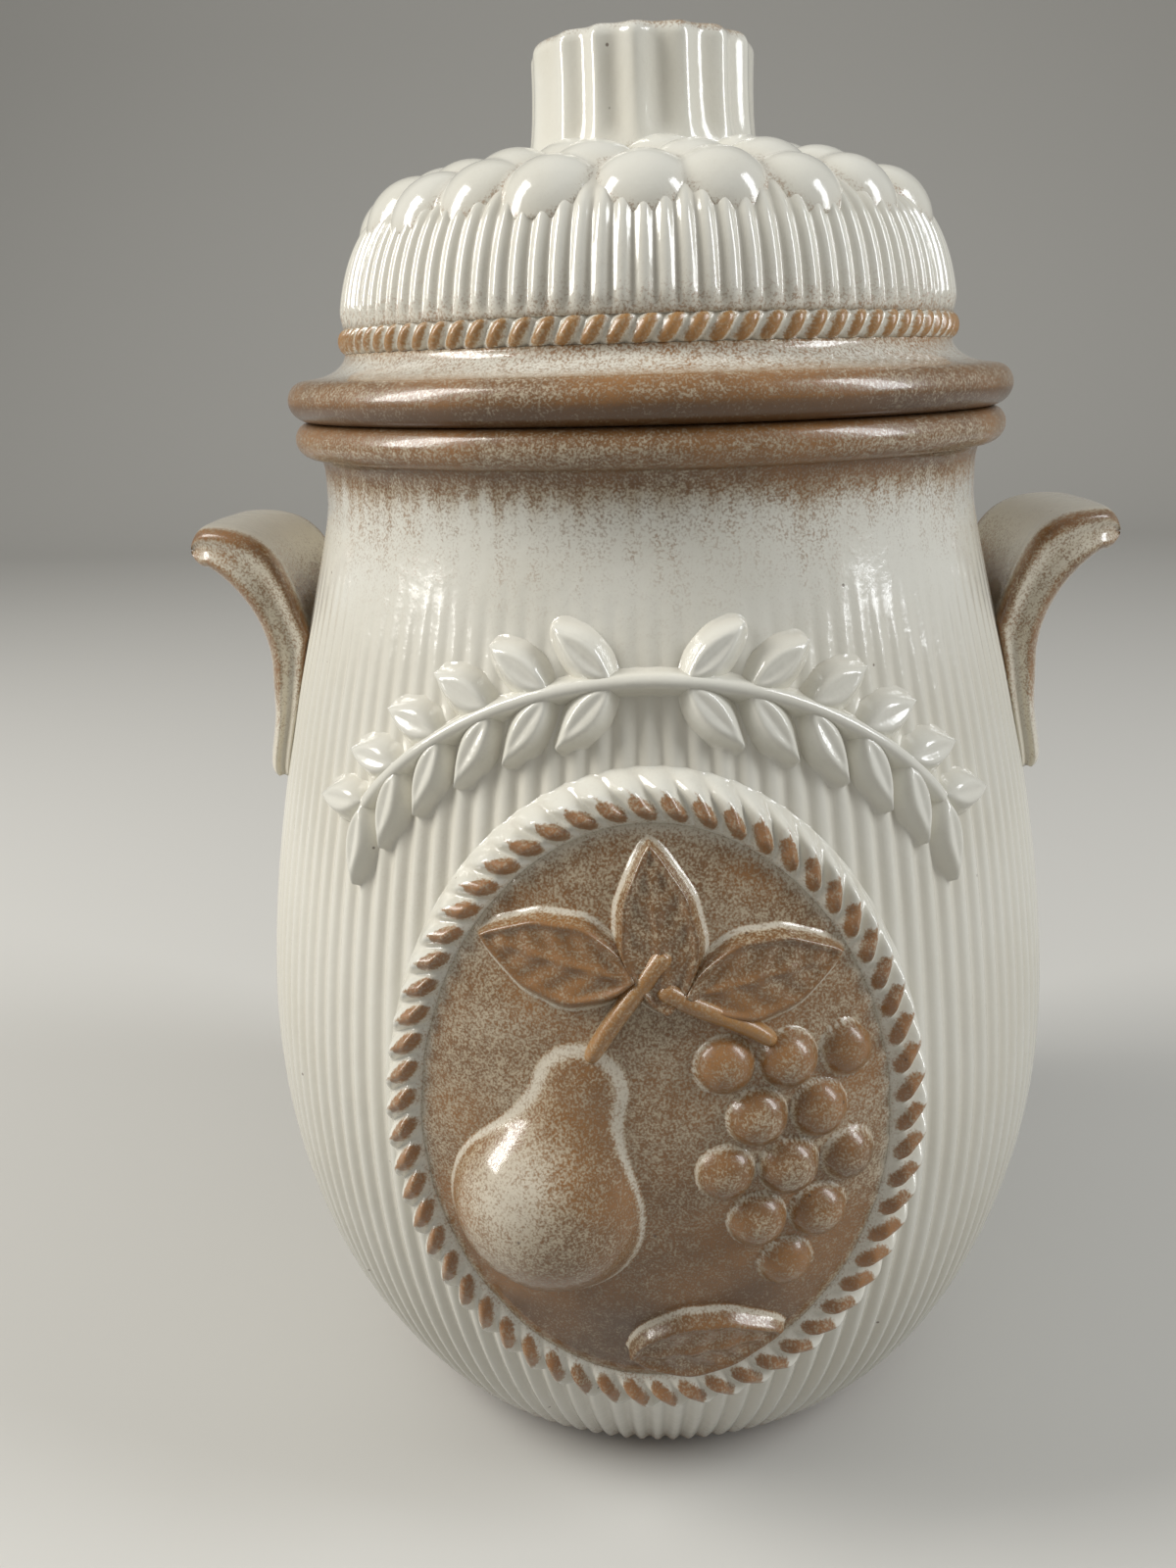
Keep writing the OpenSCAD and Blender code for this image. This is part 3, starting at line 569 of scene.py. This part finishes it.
rope_spray = 0.04 + 0.12 * smooth_step(-0.5, -1.0, across) + 0.74 * drop_edge
rope_pool = (1 - crest) * 0.8 * on_top
rope = skin("rope_border", rope_points, spray=rope_spray.T, pool=rope_pool.T)
rope_glaze = glaze("rope_glaze", Iron=(0.17, 0.075, 0.03, 1), Rust=(0.43, 0.215, 0.085, 1))
rope.data.materials.append(rope_glaze)
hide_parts("medallion_rope")
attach(rope, "pot")

# The fruit is modelled in low relief on the field: one pear that leans to the right, a bunch of
# grapes and four leaves, all softened by glaze where they meet the field.
field_top = plaque_t - 0.1
patch_rows = 56
patch_cols = 168


def relief(middle_u, middle_v, half_u, half_v, height_at, tilt=0.0):
    """A patch of relief over an oval part of the field. Its height comes from height_at(u, v), goes
    under the field at the patch's edge, and its back lies flat just under the surface."""
    share = (np.linspace(0.012, 1, patch_rows) ** 0.8)[:, None]
    way = np.linspace(0, 2 * np.pi, patch_cols, endpoint=False)[None, :]
    du, dv = half_u * share * np.cos(way), half_v * share * np.sin(way)
    u = middle_u + du * np.cos(tilt) - dv * np.sin(tilt)
    v = middle_v + du * np.sin(tilt) + dv * np.cos(tilt)
    h = height_at(u, v)
    top = on_belly(u, v, field_face(u, v) + h - 0.06 - 0.3 * smooth_step(0.93, 1.0, share))
    back = on_belly(u[[-1, patch_rows // 2, 0]], v[[-1, patch_rows // 2, 0]], field_top - 0.9)
    start = on_belly(middle_u, middle_v, field_top + height_at(np.array(middle_u), np.array(middle_v)))
    end = on_belly(middle_u, middle_v, field_top - 0.9)
    return np.concatenate([top, back]), start, end, u, v, h


def finish_relief(name, made, spray_at, node, material):
    """Turns a patch of relief into a mesh. Its spray goes with height from the field's own, through a
    line wiped to cream in the hollow round the shape, to the shape's spray_at(u, v, h)."""
    points, start, end, u, v, h = made
    hollow, raised = smooth_step(0.03, 0.30, h), smooth_step(0.6, 1.7, h)
    spray = field_wash_and_shade(u, v) * (1 - hollow) + 0.16 * hollow * (1 - raised) + spray_at(u, v, h) * raised
    piece = skin(name, points, start=start, end=end, spray=np.vstack([spray, np.full((3, h.shape[1]), 0.5)]), pool=0.2)
    piece.data.materials.append(material)
    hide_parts(node)
    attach(piece, "pot")
    return piece


pear_at = (-20, -8)
pear_lean = np.radians(16)
pear_r = 23
pear_half = 33
pear_sunk = 11
pear_neck = 0.6 * pear_r
pear_line = np.vstack([
    arc((0, pear_r - pear_half), pear_r, -90, 28, 50),
    curve((20.3, 0.8), (16.7, 7.6), (pear_neck, 11.5), (pear_neck, 19.2), 20)[1:],
    arc((0, pear_half - pear_neck), pear_neck, 0, 90, 30)[1:]])


def pear_place(u, v):
    """Distance along the pear's leaning axis, and off it."""
    du, dv = u - pear_at[0], v - pear_at[1]
    return (dv * np.cos(pear_lean) + du * np.sin(pear_lean), du * np.cos(pear_lean) - dv * np.sin(pear_lean))


def pear_height(u, v):
    """How far the pear stands above the field: its outline turned about the leaning axis, cut off
    below the surface, with a soft hollow where it meets the field and a dimple at its foot."""
    s, d = pear_place(u, v)
    rho = np.interp(s, pear_line[:, 1], pear_line[:, 0])
    round2 = rho ** 2 - d ** 2 - 60 * np.maximum(np.abs(s) - pear_half, 0)
    body = np.sign(round2) * np.sqrt(np.abs(round2))
    dimple = 1.6 * np.exp(-((s + 27.5) ** 2 + (d + 3) ** 2) / 7)
    return soft_max(body - pear_sunk, 0 * body - 0.02, 2.6) - dimple


def pear_wash_and_light(u, v, h):
    """Wash on the pear, with painted light: thinner on the side that faces up and left towards the lamps, and heavier
    low down and to the right, partly as painted shade.
    """
    s, d = pear_place(u, v)
    # Painted light: the pale patch sits on the side that faces the lamps.
    lit_side_paint = np.exp(-(((s + 4) / 19) ** 2 + ((d + 6) / 12) ** 2))
    return 0.80 - 0.55 * lit_side_paint + 0.12 * smooth_step(-12, -30, s) + 0.05 * wrinkle(u, v, 4.0)


finish_relief("leaning_pear", relief(pear_at[0], pear_at[1], 24.5, 33.5, pear_height, -pear_lean),
              pear_wash_and_light, "pear", brown_glaze)

grape_rows = (3, 2, 3, 2, 1)
grape_r = 6.4
grape_step = 2 * grape_r + 0.15
grape_sunk = 2.2
grape_places = [(27 + (i - (n - 1) / 2) * grape_step, 16 - row * 0.9 * grape_step)
                for row, n in enumerate(grape_rows) for i in range(n)]


def grape_height(u, v):
    """The highest of the grapes, each a ball cut off below the field, rounded where two meet."""
    top = np.zeros_like(u) - 0.02
    for k, (gu, gv) in enumerate(grape_places):
        left = (grape_r * 1.04) ** 2 - (u - gu) ** 2 - (v - gv) ** 2
        ball = np.where(left > 0, np.sqrt(np.maximum(left, 0)), left * 0.1) - grape_sunk + 0.5 * np.sin(2.4 * k)
        top = soft_max(ball, top, 0.9)
    return top


def grape_spray(u, v, h):
    """Wash on the grapes: thick, and rubbed a little thinner on their tops."""
    return 0.80 - 0.24 * smooth_step(3.0, 4.8, h)


finish_relief("grapes", relief(25, -6, 26.5, 36, grape_height), grape_spray, "grape_bunch", brown_glaze)

leaf_l = 34
leaf_w = 17
fruit_leaf_t = 2.9
leaves_at = ((-3, 34, -78), (3, 27, -6), (6, 31, 80), (-6, -53, 82))


def leaf_relief(u0, v0, turn):
    """One leaf: a pointed blade that swells and droops, with a raised rim, a midrib and side veins."""
    a = np.radians(turn)

    def height(u, v):
        du, dv = u - u0, v - v0
        s = (du * np.sin(a) + dv * np.cos(a)) / leaf_l
        q = du * np.cos(a) - dv * np.sin(a)
        along = np.clip(s, 0, 1)
        half = leaf_w / 2 * np.sin(np.pi * along ** 0.85) ** 0.8 * (1 + 0.025 * np.sin(along * 21))
        edge_gap = half - np.abs(q) - 1.5 * (np.maximum(s - 1, 0) + np.maximum(-s, 0)) * leaf_l
        blade = fruit_leaf_t * smooth_step(-1.7, 1.5, edge_gap) * (0.78 + 0.22 * np.cos(2.6 * (along - 0.35)))
        rim = 0.9 * np.exp(-((edge_gap - 1.3) / 1.1) ** 2)
        rib = 0.7 * np.exp(-(q / 1.1) ** 2) * smooth_step(1.0, 0.6, along)
        veins = 0.22 * np.cos((np.abs(q) * 0.55 - along * leaf_l * 0.62) * 1.5) * smooth_step(1.0, 3.5, edge_gap)
        past = 1.2 * smooth_step(-1.0, -2.4, edge_gap)
        return soft_max(blade + rim + (rib + veins) * smooth_step(0, 2, edge_gap) - past, 0 * u - 0.02, 1.0)

    return relief(u0 + leaf_l / 2 * np.sin(a), v0 + leaf_l / 2 * np.cos(a),
                  leaf_w / 2 + 3.0, leaf_l / 2 + 3.0, height, -a)


def leaf_spray(u, v, h):
    """Wash on a leaf: rich on the blade and richest on its rim."""
    return 0.70 + 0.16 * smooth_step(2.6, 3.8, h)


for number, place_and_turn in enumerate(leaves_at, 1):
    finish_relief("fruit_leaf_" + str(number), leaf_relief(*place_and_turn), leaf_spray,
                  "fruit_leaves", brown_glaze)


def twig(name, a, b, c, d):
    """A stalk between the fruit and the leaves: a round bar along a curve, thicker at its cut end."""
    line = curve(a, b, c, d, 48)
    ahead_uv = np.gradient(line, axis=0)
    ahead_uv = ahead_uv / np.hypot(*ahead_uv.T)[:, None]
    t = np.linspace(0, 1, 48)[:, None]
    size = (2.5 - 0.7 * t) * np.sqrt(1 - np.abs(2 * t - 1) ** 14)
    turn = np.linspace(0, 2 * np.pi, 24, endpoint=False)[None, :]
    off = size * np.cos(turn)
    u, v = line[:, :1] + off * ahead_uv[:, 1:], line[:, 1:] - off * ahead_uv[:, :1]
    points = on_belly(u, v, field_top + 1.0 + 1.3 * size * np.sin(turn))
    made = skin(name, points, start=points[0].mean(axis=0), end=points[-1].mean(axis=0),
                spray=0.30 + 0.52 * smooth_step(-0.1, 0.6, np.sin(turn)), pool=0.2)
    made.data.materials.append(ochre_glaze)
    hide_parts("fruit_leaves")
    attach(made, "pot")


ochre_glaze = glaze("ochre_glaze", Iron=(0.20, 0.088, 0.026, 1), Rust=(0.48, 0.25, 0.080, 1),
                    Tan=(0.52, 0.36, 0.18, 1))
twig("pear_stalk", (3, 40), (-1, 34), (-7, 28), (-12.8, 17))
twig("grape_stalk", (1, 33), (8, 28), (18, 26), (24, 20))

# The garland arches over the medallion: a stem with pairs of plain leaves, rolled and pressed
# from clay and laid over the ribs under the same cream glaze.
garland_pairs = 6
garland_leaf_l = 18
garland_leaf_w = 7.5
garland_a = 97
garland_b = 90
garland_span = np.radians(51)
garland_lift = rib_h + 2.9


def garland_place(a):
    """Where the stem is at a turn from the top, and its direction: a point on an oval."""
    return garland_a * np.sin(a), garland_b * np.cos(a), np.arctan2(garland_b * np.sin(a), garland_a * np.cos(a))


def over_ribs(u, v, h):
    """The raised height h softened into the ribbed wall under it."""
    return soft_max(h, rib_lift(u / belly_r, medal_z + v) - 0.04, 0.7)


def garland_leaf(a, half, side):
    """One garland leaf as a closed patch: a pointed oval with a soft midrib, rounded into the ribs."""
    u0, v0, slope = garland_place(a)
    turn = np.pi / 2 + slope + (0 if half > 0 else np.pi)
    turn = turn - half * side * np.radians(40)
    share = (np.linspace(0.02, 1, 16) ** 0.75)[:, None]
    way = np.linspace(0, 2 * np.pi, 56, endpoint=False)[None, :]
    s = 0.5 + share * 0.58 * np.cos(way)
    q = share * (garland_leaf_w / 2 + 1.5) * np.sin(way)
    u = u0 + s * garland_leaf_l * np.sin(turn) + q * np.cos(turn)
    v = v0 + s * garland_leaf_l * np.cos(turn) - q * np.sin(turn)
    half_here = garland_leaf_w / 2 * np.sin(np.pi * np.clip(s, 0, 1) ** 0.85)
    gap_here = half_here - np.abs(q) - 4 * np.maximum(s - 1, 0) * garland_leaf_l - 4 * np.maximum(-s, 0) * garland_leaf_l
    blade = garland_lift * smooth_step(-2.4, 2.0, gap_here) - 0.40 * np.exp(-(q / 1.0) ** 2) * smooth_step(0.3, 1.5, gap_here)
    h = over_ribs(u, v, blade) - 0.3 * smooth_step(0.9, 1.0, share)
    top = on_belly(u, v, h)
    back = on_belly(u[[-1, 8, 0]], v[[-1, 8, 0]], 0 * u[[-1, 8, 0]] - 0.2)
    return np.concatenate([top, back]), h


def stem_patch():
    """The garland's stem: a rounded bar along the oval, closed underneath."""
    a = np.linspace(-garland_span * 1.02, garland_span * 1.02, 260)[:, None]
    u0, v0, slope = garland_place(a)
    t = np.linspace(0, 2 * np.pi, 24, endpoint=False)[None, :]
    taper = np.sqrt(np.clip(1 - (a / (garland_span * 1.021)) ** 8, 0, 1))
    q = 2.9 * np.cos(t) * (0.25 + 0.75 * taper)
    bar = garland_lift * smooth_step(2.9, 0.7, np.abs(q)) * taper
    u, v = u0 + q * np.sin(slope), v0 + q * np.cos(slope)
    h = np.where(np.sin(t) >= -0.01, over_ribs(u, v, bar) - 0.25 * smooth_step(0.9, 1.0, np.abs(np.cos(t))), -0.2)
    return on_belly(u, v, h), h


stem_points, stem_h = stem_patch()
garland_parts = [skin("garland_stem", stem_points, start=stem_points[0].mean(axis=0), end=stem_points[-1].mean(axis=0),
                      spray=0.03, pool=0.5 * (1 - smooth_step(0.8, 2.6, stem_h)))]
for half in (-1, 1):
    for pair in range(1, garland_pairs + 1):
        for side in (-1, 1):
            leaf_points, leaf_h = garland_leaf(half * garland_span * (pair - 0.45) / garland_pairs, half, side)
            leaf_pool = np.vstack([0.6 * (1 - smooth_step(0.8, 2.8, leaf_h)), np.zeros((3, leaf_h.shape[1]))])
            garland_parts.append(skin("garland_leaf", leaf_points, start=leaf_points[0].mean(axis=0),
                                      end=leaf_points[-1].mean(axis=0), spray=0.03, pool=leaf_pool))
with bpy.context.temp_override(active_object=garland_parts[0], selected_editable_objects=garland_parts):
    bpy.ops.object.join()
garland = garland_parts[0]
garland.name = "leaf_arch"
garland.data.materials.append(cream_glaze)
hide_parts("leaf_garland")
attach(garland, "pot")

# The lid is a ribbed dome over a wide rolled flange, with a collar underneath that drops into the
# mouth. It is cast hollow, and its flange and fillet take the brown wash.
flange_r = 84.5
flange_t = 9
band_bottom = pot_h + 14.3
band_h = 5.4
band_top = band_bottom + band_h
dome_r = 70.6
shoulder = np.array([45, pot_h + 49.5])
crown_top = shoulder[1] + 4.0
lid_wall = 5.5
collar_h = 10
channel_r = dome_r - 2.2
collar_r = mouth_r - 1
knob_base_r = 26.6
knob_bore = knob_base_r - 7
lid_ribs = 108
roll_at = (flange_r - flange_t / 2, pot_h + flange_t / 2)
collar_rows = np.array([(collar_r - lid_wall, pot_h - collar_h + 1), (collar_r - lid_wall + 1, pot_h - collar_h),
                        (collar_r - 1.2, pot_h - collar_h), (collar_r, pot_h - collar_h + 1.2),
                        (collar_r, pot_h - 0.4), (collar_r + 0.5, pot_h + 0.02), (roll_at[0] - 2, pot_h + 0.02)])
flange_rows = arc(roll_at, flange_t / 2, -88, 85, 18)
fillet_rows = curve((dome_r + 7, pot_h + flange_t + 0.35), (dome_r + 3, pot_h + flange_t + 1.0),
                    (channel_r + 2.6, band_bottom - 2), (channel_r + 2.3, band_bottom), 10)
channel_rows = np.array([(channel_r + 0.6, band_bottom + 0.4), (channel_r + 0.4, band_bottom + 2.7),
                         (channel_r + 0.6, band_top - 0.4)])
dome_rows = curve((dome_r, band_top), (dome_r - 1.6, band_top + 15.5), (dome_r - 7.5, shoulder[1] - 2.4), shoulder, 44)
crown_rows = np.array([(43, shoulder[1] + 0.4), (36, shoulder[1] + 2.0), (30, shoulder[1] + 3.3), (24, crown_top),
                       (20, crown_top), (knob_bore, crown_top - 0.8), (knob_bore, crown_top - lid_wall - 0.4)])
under_rows = curve((shoulder[0] - 2, shoulder[1] - lid_wall), (dome_r - 10 - lid_wall, shoulder[1] - 2.5 - lid_wall),
                   (dome_r - 1 - lid_wall, band_top + 14), (dome_r - lid_wall, band_top), 12)
low_rows = np.array([(dome_r - lid_wall, band_bottom - 4), (collar_r - lid_wall, pot_h + 3)])
lid_rows = np.vstack([collar_rows, flange_rows, fillet_rows, channel_rows, dome_rows, crown_rows, under_rows, low_rows])
lid_around = np.linspace(0, 2 * np.pi, lid_ribs * 8, endpoint=False)
dome_from = len(collar_rows) + len(flange_rows) + len(fillet_rows) + len(channel_rows)
on_dome = np.zeros((len(lid_rows), 1))
on_dome[dome_from:dome_from + len(dome_rows)] = 1
lid_r, lid_z = lid_rows[:, :1], lid_rows[:, 1:]
lid_wave = (np.sqrt(0.10 + 0.90 * np.cos(0.5 * lid_ribs * lid_around[None, :]
                                         + 0.12 * ripple(lid_around[None, :], lid_z, 4.0)) ** 2) - 0.316) / 0.684
lid_fade = smooth_step(band_top - 0.5, band_top + 4, lid_z) * (1 - smooth_step(shoulder[1] - 11, shoulder[1] - 4.5, lid_z))
lid_lift = 1.0 * lid_wave * lid_fade * on_dome
dome_slope = np.gradient(lid_rows[:, 0]) / np.maximum(np.abs(np.gradient(lid_rows[:, 1])), 0.05)
tilt_in = np.arctan(np.abs(dome_slope))[:, None] * on_dome
lid_radius = lid_r + lid_lift * np.cos(tilt_in)
lid_height = lid_z + lid_lift * np.sin(tilt_in)
lid_points = np.stack([lid_radius * np.sin(lid_around), -lid_radius * np.cos(lid_around), lid_height], axis=-1)
# The flange's foot and its underside where it sits on the rim carry the deepest wash: partly the flange's own dark
# brown, partly painted shadow in the seam.
lid_wash_and_shade = np.concatenate([
    np.full(len(collar_rows) - 2, 0.06), [0.97, 0.99],
    np.interp(np.linspace(-88, 85, 18), [-88, -25, -10, 2, 20, 50, 85], [0.99, 0.99, 0.95, 0.80, 0.66, 0.80, 0.58]),
    np.interp(np.linspace(0, 1, 10), [0, 0.3, 0.6, 1], [0.42, 0.26, 0.28, 0.48]),
    [0.50, 0.46, 0.42], np.interp(dome_rows[:, 1] - band_top, [0, 2.5, 6, 14], [0.30, 0.14, 0.06, 0.02]),
    [0.04, 0.10, 0.18, 0.2, 0.1], np.full(2 + len(under_rows) + len(low_rows), 0.06)])[:, None]
lid_spray_and_shade = np.clip(lid_wash_and_shade + 0.02 * ripple(lid_around, lid_z, 2.5), 0, 0.99)
lid_pool = (1 - lid_lift) * on_dome * 0.9
lid = skin("ribbed_lid", lid_points, spray=lid_spray_and_shade, pool=lid_pool)
lid.data.materials.append(cream_glaze)
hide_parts("lid_shell")
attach(lid, "lid")

# A finer rope runs round the foot of the dome in its own channel: slanted beads whose tops show
# ochre where the glaze runs thin.
band_n = 92
band_way = np.linspace(0, 2 * np.pi, band_n * 14, endpoint=False)[None, :]
band_turn = np.linspace(0, 2 * np.pi, 18, endpoint=False)[:, None]
band_strand = band_n * band_way / (2 * np.pi) - 0.32 * np.sin(band_turn)
band_crest = np.sqrt(0.02 + 0.98 * np.cos(np.pi * band_strand) ** 2)
band_arch = np.maximum(np.cos(band_turn), 0) ** 0.7
band_radius = channel_r + np.where(np.cos(band_turn) > 0, 0.7 + 3.0 * band_arch * (0.42 + 0.58 * band_crest), 0.4)
band_height = band_bottom + band_h / 2 + (band_h / 2 + 0.2) * np.sin(band_turn) * (0.93 + 0.07 * band_crest)
band_points = np.stack([band_radius * np.sin(band_way), -band_radius * np.cos(band_way), band_height], axis=-1)
off_bead = np.abs(band_strand - np.round(band_strand))
bead_top = smooth_step(0.40, 0.22, np.hypot(off_bead, 0.36 * np.sin(band_turn) ** 2))
band_spray = 0.10 + 0.66 * bead_top * (np.cos(band_turn) > 0.05)
band = skin("lid_rope", band_points, spray=band_spray, pool=1 - band_crest)
band.data.materials.append(ochre_glaze)
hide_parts("lid_rope_band")
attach(band, "lid")

# Three rows of berries ring the knob: low pillows of clay pressed on to the lid's shoulder, smooth
# under the glaze, with the wash left only in the creases between them.
berry_rows = ((22, 58.5, 0.0), (17, 46.5, 0.5), (12, 34.5, 0.2))
berry_ball = 12.2
berry_sunk = 8.9
berry_edge = np.vstack([dome_rows[dome_rows[:, 0] < 66], crown_rows[:3], [(knob_base_r - 0.4, crown_top - 0.4)]])
edge_run = np.r_[0, np.cumsum(np.hypot(*np.diff(berry_edge, axis=0).T))]
berry_s = np.linspace(0, edge_run[-1], 92)
line_r = np.interp(berry_s, edge_run, berry_edge[:, 0])[:, None]
line_z = np.interp(berry_s, edge_run, berry_edge[:, 1])[:, None]
line_run = np.hypot(np.gradient(line_r[:, 0]), np.gradient(line_z[:, 0]))[:, None]
out_r = np.gradient(line_z[:, 0])[:, None] / line_run
out_z = -np.gradient(line_r[:, 0])[:, None] / line_run
berry_way = np.linspace(0, 2 * np.pi, 396, endpoint=False)
berry_on = np.stack([line_r * np.sin(berry_way), -line_r * np.cos(berry_way), line_z + 0 * berry_way], axis=-1)
berry_out = np.stack([out_r * np.sin(berry_way), -out_r * np.cos(berry_way), out_z + 0 * berry_way], axis=-1)


def pillow_height(on, out):
    """How far the berries stand out from the shoulder, measured square to it: the highest of the
    caps of balls whose centres lie berry_sunk under the skin, rounded where two meet."""
    top = np.full(on.shape[:2], -0.9)
    for row, (count, row_r, offset) in enumerate(berry_rows):
        for k in range(count):
            a = 2 * np.pi * (k + offset) / count + 0.03 * np.sin(5.3 * k + row)
            at_r = row_r + 0.9 * np.sin(3.7 * k + 2 * row)
            low = berry_sunk + 0.25 * np.sin(4.1 * k + row)
            ball_r = at_r - low * np.interp(at_r, line_r[::-1, 0], out_r[::-1, 0])
            ball_z = np.interp(at_r, line_r[::-1, 0], line_z[::-1, 0]) - low * np.interp(at_r, line_r[::-1, 0], out_z[::-1, 0])
            away = on - np.array([ball_r * np.sin(a), -ball_r * np.cos(a), ball_z])
            along = (away * out).sum(axis=-1)
            cap2 = berry_ball ** 2 - (away ** 2).sum(axis=-1) + along ** 2
            top = soft_max(np.sqrt(np.maximum(cap2, 4)) - along, top, 0.5)
    return top


proud = pillow_height(berry_on, berry_out)
berry_rise = soft_max(proud, 0.35 - 1.6 * smooth_step(54.0, 60.0, line_r), 0.5)
berry_top = berry_on + berry_out * berry_rise[..., None]
berry_under = berry_top[[-1, 0]] - 1.2 * berry_out[[-1, 0]]
berry_spray = 0.34 * (1 - smooth_step(0.2, 1.3, proud)) * (0.55 + 0.45 * ripple(berry_way, line_r, 1.0))
berry_pool = 0.7 * (1 - smooth_step(0.3, 2.2, proud))
berries = skin("berry_ring", np.concatenate([berry_top, berry_under]),
               spray=np.vstack([0.03 + berry_spray, 0 * berry_spray[:2]]),
               pool=np.vstack([berry_pool, 0 * berry_pool[:2]]))
berries.data.materials.append(cream_glaze)
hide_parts("lid_berries")
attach(berries, "lid")

# The knob is a short hollow column with broad uneven flutes squeezed into it by hand, and a
# rounded lip where the glaze runs thin and shows rust.
knob_r = 25
knob_top = pot_h + 78
flutes = 16
flute_d = 1.5
knob_lip = 3
knob_rows = np.vstack([
    [(knob_bore, crown_top + 0.15), (knob_base_r - 1.0, crown_top + 0.15)],
    curve((knob_base_r - 0.1, crown_top + 0.4), (knob_r + 0.5, crown_top + 5), (knob_r - 0.2, crown_top + 11),
          (knob_r, knob_top - knob_lip), 26),
    arc((knob_r - knob_lip, knob_top - knob_lip), knob_lip, 8, 88, 9),
    [(16, knob_top - 0.1), (8, knob_top - 0.05), (1, knob_top - 0.05)]])
knob_inside = np.vstack([
    [(0.5, knob_top - 5.5)],
    curve((knob_bore - 6, knob_top - 5.5), (knob_bore - 2.5, knob_top - 6), (knob_bore - 2, knob_top - 9),
          (knob_bore, crown_top + 4), 7)])
knob_r_z = np.vstack([knob_inside, knob_rows])
k_r, k_z = knob_r_z[:, :1], knob_r_z[:, 1:]
is_outside = (np.arange(len(k_r)) >= len(knob_inside))[:, None]
knob_way = np.linspace(0, 2 * np.pi, flutes * 20, endpoint=False)
uneven = 0.45 * np.sin(3 * knob_way + 0.6) + 0.45 * np.sin(5 * knob_way + 2.0) + 0.02 * (k_z - crown_top)
flute_wave = (0.5 - 0.5 * np.cos(flutes * knob_way + uneven)) ** 0.8
deep = 1 + 0.40 * np.sin(2 * knob_way + 1.1) + 0.2 * np.sin(7 * knob_way)
on_side = smooth_step(crown_top - 3, crown_top + 6, k_z) * smooth_step(15, 24.5, k_r) * is_outside
knob_radius = k_r - flute_d * 0.80 * flute_wave * deep * on_side
knob_points = np.stack([knob_radius * np.sin(knob_way), -knob_radius * np.cos(knob_way), k_z + 0 * knob_radius], axis=-1)
lip_rust = 0.42 * smooth_step(knob_top - 2.4, knob_top - 0.2, k_z) * (0.40 + 0.60 * smooth_step(-0.2, 0.8, np.sin(knob_way + 0.3)))
foot_rust = 0.16 * (1 - smooth_step(crown_top, crown_top + 2.5, k_z))
knob = skin("fluted_knob", knob_points, start=(0, 0, knob_top - 5.5), end=(0, 0, knob_top - 0.05),
            spray=0.03 + (lip_rust + foot_rust) * is_outside, pool=0.5 * flute_wave * on_side)
knob.data.materials.append(cream_glaze)
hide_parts("lid_knob")
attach(knob, "lid")
